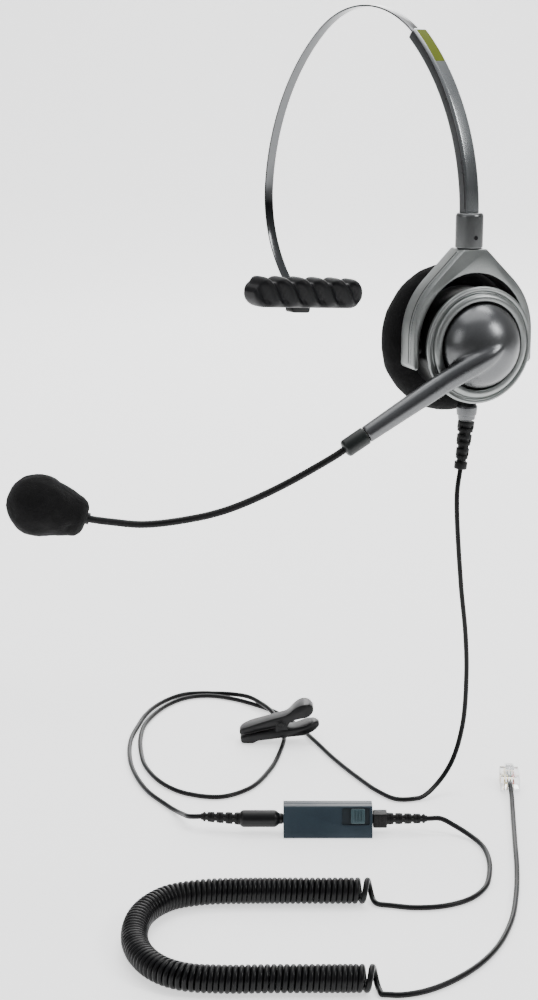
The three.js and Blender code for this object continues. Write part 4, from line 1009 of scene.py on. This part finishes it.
# ---------------------------------------------------------------- gooseneck and microphone

FLEX = Vector(JOINTS["gooseneck_flex"]["pos_m"]) / MM
MIC_NECK = Vector((19.5, -145.2, -183.7))
FOAM_HEART = Vector((10.8, -160.2, -178.2))
NECK_START, NECK_END = Vector((49, -82, -176)), Vector((34, -113.3, -186.1))


def gooseneck():
    """Finely ringed arm from inside the boom's end to inside the foam, whose line passes through the flex
    joint.
    """
    inside = [(CUP @ (BOOM_ROOT.lerp(BOOM_TIP, s) * MM)) / MM for s in (0.9, 0.95, 1.0, 1.06)]
    line = inside + [NECK_START, FLEX, NECK_END, (27, -126.9, -187.1), (22.5, -137.6, -185.4), MIC_NECK,
                     MIC_NECK.lerp(FOAM_HEART, 0.15)]
    points = even(catmull(line, 24), 0.32)
    radii = [1.36 + 0.045 * math.cos(math.pi * k / 2) for k in range(len(points))]
    arm = tube("gooseneck_arm", points, radii, RUBBER, sides=28)
    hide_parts("gooseneck_base", "gooseneck_tip")
    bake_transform(arm)


DIMPLE_REACH = 0.004
DIMPLE_DEPTH = 0.0011


def windscreen():
    """Pear of foam with a wide neck end and a shallow dimple beside it."""
    aim = (FOAM_HEART - MIC_NECK).normalized()
    stand = frame_at(MIC_NECK * MM, aim, aim.cross(UP).normalized())
    start, length, big = 1.6, 30.6, 11.6
    heart = start + length - big - 1.0
    profile = [(start + 0.9, 0.0), (start + 0.5, 2.0), (start, 2.9), (start + 0.1, 4.6), (start + 1.0, 6.2),
               (start + 2.6, 7.4)]
    for i in range(29):
        a = math.radians(-26 + 116 * i / 28)
        profile.append((heart + big * math.sin(a), big * math.cos(a) if i < 28 else 0.0))
    foam = lathe("mic_foam", finely(profile, 0.45), FOAM, stand, 150, smooth=70)
    dimple = stand @ Vector((7.5 * MM, 0, 0)) + Vector((0.55, -0.45, -0.35)).normalized() * 8 * MM
    middle = stand @ Vector((8 * MM, 0, 0))
    for v in foam.data.vertices:
        d = (v.co - dimple).length
        if d < DIMPLE_REACH:
            v.co += (middle - v.co).normalized() * DIMPLE_DEPTH * (1 - d / DIMPLE_REACH) ** 2
    roughen(foam, 0.0004, 210, 1.0)
    roughen(foam, 0.00012, 1000, 5.0)
    place(foam, "microphone", ["mic_windscreen"])


# ---------------------------------------------------------------- clip, plug, control box


def clip_arm(name, outline, half):
    """Arm of the clip, wide and round in plan at both ends."""
    arm = prism(name, outline, -half, half, PLASTIC, CLIP, 0.7, "xz", smooth=40)
    inverse = CLIP.inverted()
    for v in arm.data.vertices:
        p = inverse @ v.co
        x = p.x / MM
        wide = 1 + 0.34 * math.exp(-((x - 9.5) / 4.6) ** 2) + 0.16 * math.exp(-((x + 14) / 4.5) ** 2)
        if x < -13.5:
            wide *= math.sqrt(max(0.16, 1 - ((-13.5 - x) / 6.2) ** 2))
        elif x > 9.5:
            wide *= math.sqrt(max(0.16, 1 - ((x - 9.5) / 6.8) ** 2))
        p.y *= wide
        v.co = CLIP @ p
    arm.data.update()
    return arm


def clip():
    lower = fillet([
        (-18.2, 0, 1.2), (-12.5, 0, 1), (-11, 0.8, 1), (3, 1.2), (9, 1.7), (14, 2.9, 1), (16.2, 4.2, 1.5),
        (16.4, 6, 1.2), (14.6, 7, 1.0), (11, 6.2, 1.5), (6, 5, 1.5), (-3, 5), (-12, 4.3), (-18.4, 2.9, 0.8),
    ], 0.8, 4)
    upper = fillet([
        (-18.3, 3.9, 0.6), (-12, 4.8), (-3.2, 6), (2.4, 6.0), (4, 8.4, 1.2), (9, 9.6, 1.5), (12, 9.6, 1.5),
        (14.2, 11.2, 1.6), (14.6, 13.4, 1.5), (13, 15.4, 1.6), (10, 15.8, 2), (6.6, 14.4, 2), (3, 11.2, 2),
        (-3, 10.2, 2), (-12, 8.4, 2), (-17, 6.9, 1.4), (-18.6, 5.6, 1.0),
    ], 0.8, 5)
    place(clip_arm("clip_under_arm", lower, 4), "ear_cup", ["clip_lower_arm"])
    place(clip_arm("clip_over_arm", upper, 3.9), "clip_jaw", ["clip_upper_arm"])
    ears = []
    ear = fillet([(-3, 3.6), (3, 3.6), (2.2, 8.6, 1), (1, 9.4, 0.8), (-1, 9.4, 0.8), (-2.2, 8.6, 1)], 0.3, 4)
    head = fillet([(0, 1.3), (0.5, 1.2, 0.3), (0.7, 0.0)], 0.2, 3, closed=False)
    for side in (-1, 1):
        ears.append(prism("ear", ear, side * 3.6 - 0.45, side * 3.6 + 0.45, PLASTIC, CLIP, 0.2, "xz"))
        spot = CLIP @ frame_at((0, side * 3.9 * MM, CLIP_PIN_Z * MM), (0, side, 0), (1, 0, 0))
        ears.append(lathe("head", [(0, 0.0)] + head, PLASTIC, spot, 28))
    place(joined("clip_ears", ears), "ear_cup")
    return ["clip_under_arm", "clip_over_arm", "clip_ears"]


def plug():
    """In-line plug on the headset cord, with its pin, and the relief behind it."""
    rear, front = -33.8, -17.4
    body = fillet([
        (rear, 1.1), (rear, 2.5, 0.3), (rear + 1, 3.3, 0.5), (front - 2.8, 3.3, 0.5), (front - 1.7, 2.5, 0.4),
        (front - 1.2, 2.1, 0.2), (front, 2.1, 0.15), (front, 1.7), (front + 11.4, 1.7, 0.2),
        (front + 12.2, 1.0, 0.3), (front + 12.2, 0.0),
    ], 0.25, 4, closed=False)
    shell = lathe("plug_shell", body, PLASTIC, AXIS, 72)
    place(shell, "ear_cup", ["plug_body"])
    lean = math.radians(-8)
    back = AXIS @ frame_at((-34.1 * MM, 0, 0), (-math.cos(lean), -math.sin(lean), 0), (0, 1, 0))
    relief = ribbed("plug_relief", -0.9, 14.9, 2.4, 1.9, 9, back)
    place(relief, "ear_cup", ["plug_strain_relief"])
    return ["plug_shell", "plug_relief"]


BOX_HALF, BOX_HEIGHT = 17.1, 11.5
BOX_PART = 1.8
BOX_SLOPE = math.atan((BOX_REAR - 0.8) / BOX_HEIGHT)


def box_shell(name, points, node):
    obj = prism(name, fillet(points, 0.5, 4), -BOX_HALF, BOX_HALF, SLATE, BOX, 0.6, "yz", smooth=30)
    return place(obj, "control_box", [node])


def rectangle(x0, z0, x1, z1, radius, steps=4):
    return fillet([(x0, z0), (x1, z0), (x1, z1), (x0, z1)], radius, steps)


def control_box():
    """Two shells with a dark seam, a sloping face with a recess, and the switch in it."""
    top, near, far = BOX_HEIGHT, BOX_PART - 0.1, BOX_PART + 0.1
    sloping = [(-BOX_REAR, 0, 0.5), (near, 0, 0.12), (near, top, 0.12), (-0.8, top, 0.6)]
    front = box_shell("box_front", sloping, "box_front_shell")
    box_shell("box_rear", [(far, 0, 0.12), (BOX_REAR, 0, 0.5), (BOX_REAR, top, 0.5), (far, top, 0.12)],
              "box_rear_shell")
    seam = rectangle(BOX_PART - 0.3, 0.35, BOX_PART + 0.3, top - 0.35, 0.1, 2)
    place(prism("box_seam", seam, -BOX_HALF + 0.35, BOX_HALF - 0.35, PLASTIC, BOX, 0, "yz"), "control_box")
    face = BOX @ Matrix.Translation((0, -BOX_REAR * MM, 0)) @ Matrix.Rotation(-BOX_SLOPE, 4, "X")
    recess = prism("recess", rectangle(5.2, 5.0, 16.2, 11.7, 0.8), -2, 0.7, SHADED_SLATE, face, 0, "xz")
    cut = front.modifiers.new("recess", "BOOLEAN")
    cut.operation = "DIFFERENCE"
    cut.solver = "EXACT"
    cut.object = recess
    apply_modifiers(front)
    bpy.data.objects.remove(recess)
    front.data.shade_smooth()
    front.data.set_sharp_from_angle(angle=math.radians(30))
    # Painted shade: the recess floor takes the darker copy of the slate.
    bed = prism("switch_bed", rectangle(5.5, 5.3, 15.9, 11.4, 0.6), 0.62, 0.82, SHADED_SLATE, face, 0, "xz")
    place(bed, "control_box")
    cap = [prism("cap", rectangle(8.8, 5.6, 14.2, 11.3, 0.7), -0.5, 0.55, TEAL, face, 0.2, "xz")]
    for x in (9.7, 10.8, 11.9, 13.0):
        bar = rectangle(x, 6.3, x + 0.45, 10.6, 0.2, 3)
        cap.append(prism("bar", bar, -0.85, -0.4, TEAL, face, 0.12, "xz"))
    place(joined("switch_cap", cap), "mute_switch", ["switch_slider"])
    place(box_relief(), "control_box", ["box_strain_relief"])
    return ["box_front", "box_rear", "box_seam", "switch_bed", "switch_cap", "box_relief"]


def box_relief():
    """Grooved block on the end of the box, and the taper that the cord leaves by."""
    start = BOX_HALF + 0.3
    block = rectangle(start, -2.6, start + 5.4, 2.6, 0.5)
    parts = [prism("block", block, -2.9, 2.7, RUBBER, AXIS, 0.4, "xy", smooth=30)]
    neck = [(start - 2.5, 0.0), (start - 2.5, 1.8), (start + 1, 1.8), (start + 1, 0.0)]
    parts.append(lathe("neck", neck, RUBBER, AXIS, 32))
    parts.append(ribbed("taper", start + 5.2, start + 20.8, 2.3, 1.8, 9, AXIS))
    for i in range(3):
        x = start + 1.1 + i * 1.3
        parts.append(prism("bar", rectangle(x, -2.2, x + 0.5, 2.1, 0.15, 2), -2.85, -2.4, RUBBER, AXIS, 0.1,
                           "xz"))
    return joined("box_relief", parts)


WIRE_PITCH = 1.02
WIRE_R = 0.33
WIRE_COLORS = ((0.75, 0.1, 0.05), (0.02, 0.2, 0.05), (0.02, 0.02, 0.02), (0.8, 0.6, 0.05))


def modular_plug():
    """Clear body and latch, with the four wires that lead to the contacts."""
    half, top, front = 3.825, 6.2, PLUG_LENGTH
    side = fillet([
        (0, 0, 0.4), (front, 0, 0.3), (front, 4.6, 0.2), (front - 1.4, 4.6, 0.2), (front - 1.4, top, 0.3),
        (0, top, 0.5),
    ], 0.3, 3)
    body = prism("modular_plug", side, -half, half, CLEAR, PLUG, 0.3, "xz", smooth=30)
    place(body, "control_box", ["rj9_body"])
    outline = fillet([(1.2, 8.6, 0.3), (11, 6.6, 0.3), (11.6, 7), (11.2, 7.7, 0.3), (6.4, 8.8, 0.6),
                      (1.2, 9.5, 0.3)], 0.2, 3)
    latch = prism("modular_latch", outline, -1.6, 1.6, CLEAR, PLUG, 0.2, "xz", smooth=30)
    place(latch, "latch", ["rj9_latch"])
    angles = [2 * math.pi * k / 12 for k in range(12)]
    section = [(WIRE_R * math.cos(a), WIRE_R * math.sin(a)) for a in angles]
    names = ["modular_plug", "modular_latch"]
    for i, color in enumerate(WIRE_COLORS):
        y = (i - 1.5) * WIRE_PITCH
        line = catmull([(0.8, y * 0.35, 2.6), (3.5, y * 0.5, 2.6), (6.2, y, 1.9), (9.5, y, 1.9)], 6)
        mat = material(f"wire_{i + 1}", color, 0.4, 0.0, grain=800, bump=0.1, depth=1e-5)
        wire = place(sweep(f"plug_wire_{i + 1}", line, section, mat, PLUG), "control_box")
        names.append(wire.name)
    return names


headband()
sleeve()
swivel_collar()
temple_pad()
yoke()
ring_and_housing()
dome_and_boom()
cup_strain_relief()
ear_cushion()
gooseneck()
windscreen()
clip_pieces = clip()
plug_pieces = plug()
box_pieces = control_box()
modular_pieces = modular_plug()

# ---------------------------------------------------------------- cords placed on their bodies, CAD nodes finished

place(headset_cord, "ear_cup", ["headset_cord"])
place(box_cord, "control_box", ["box_cord", "curly_cord", "lead_cord"])


FINISHES = {
    "brass": BRASS, "steel": PIN_STEEL, "satin_silver": SILVER, "gunmetal": GUNMETAL,
    "polished_steel": STEEL, "lime_label": LIME, "black_plastic": PLASTIC, "black_rubber": RUBBER,
    "black_foam": FOAM, "cord_black": CORD, "slate_plastic": SLATE, "teal_plastic": TEAL,
    "green_board": BOARD, "clear_plastic": CLEAR,
}
SLOTS = {s["node"]: s["material_slot"] for s in RECORD["subparts"]}
for name, obj in NODES.items():
    obj.data.materials.clear()
    obj.data.materials.append(FINISHES[SLOTS[name]])
    if not obj.hide_render:
        soft = obj.modifiers.new("edges", "BEVEL")
        soft.width = 0.00015
        soft.segments = 2
        soft.limit_method = "ANGLE"
        soft.angle_limit = math.radians(40)
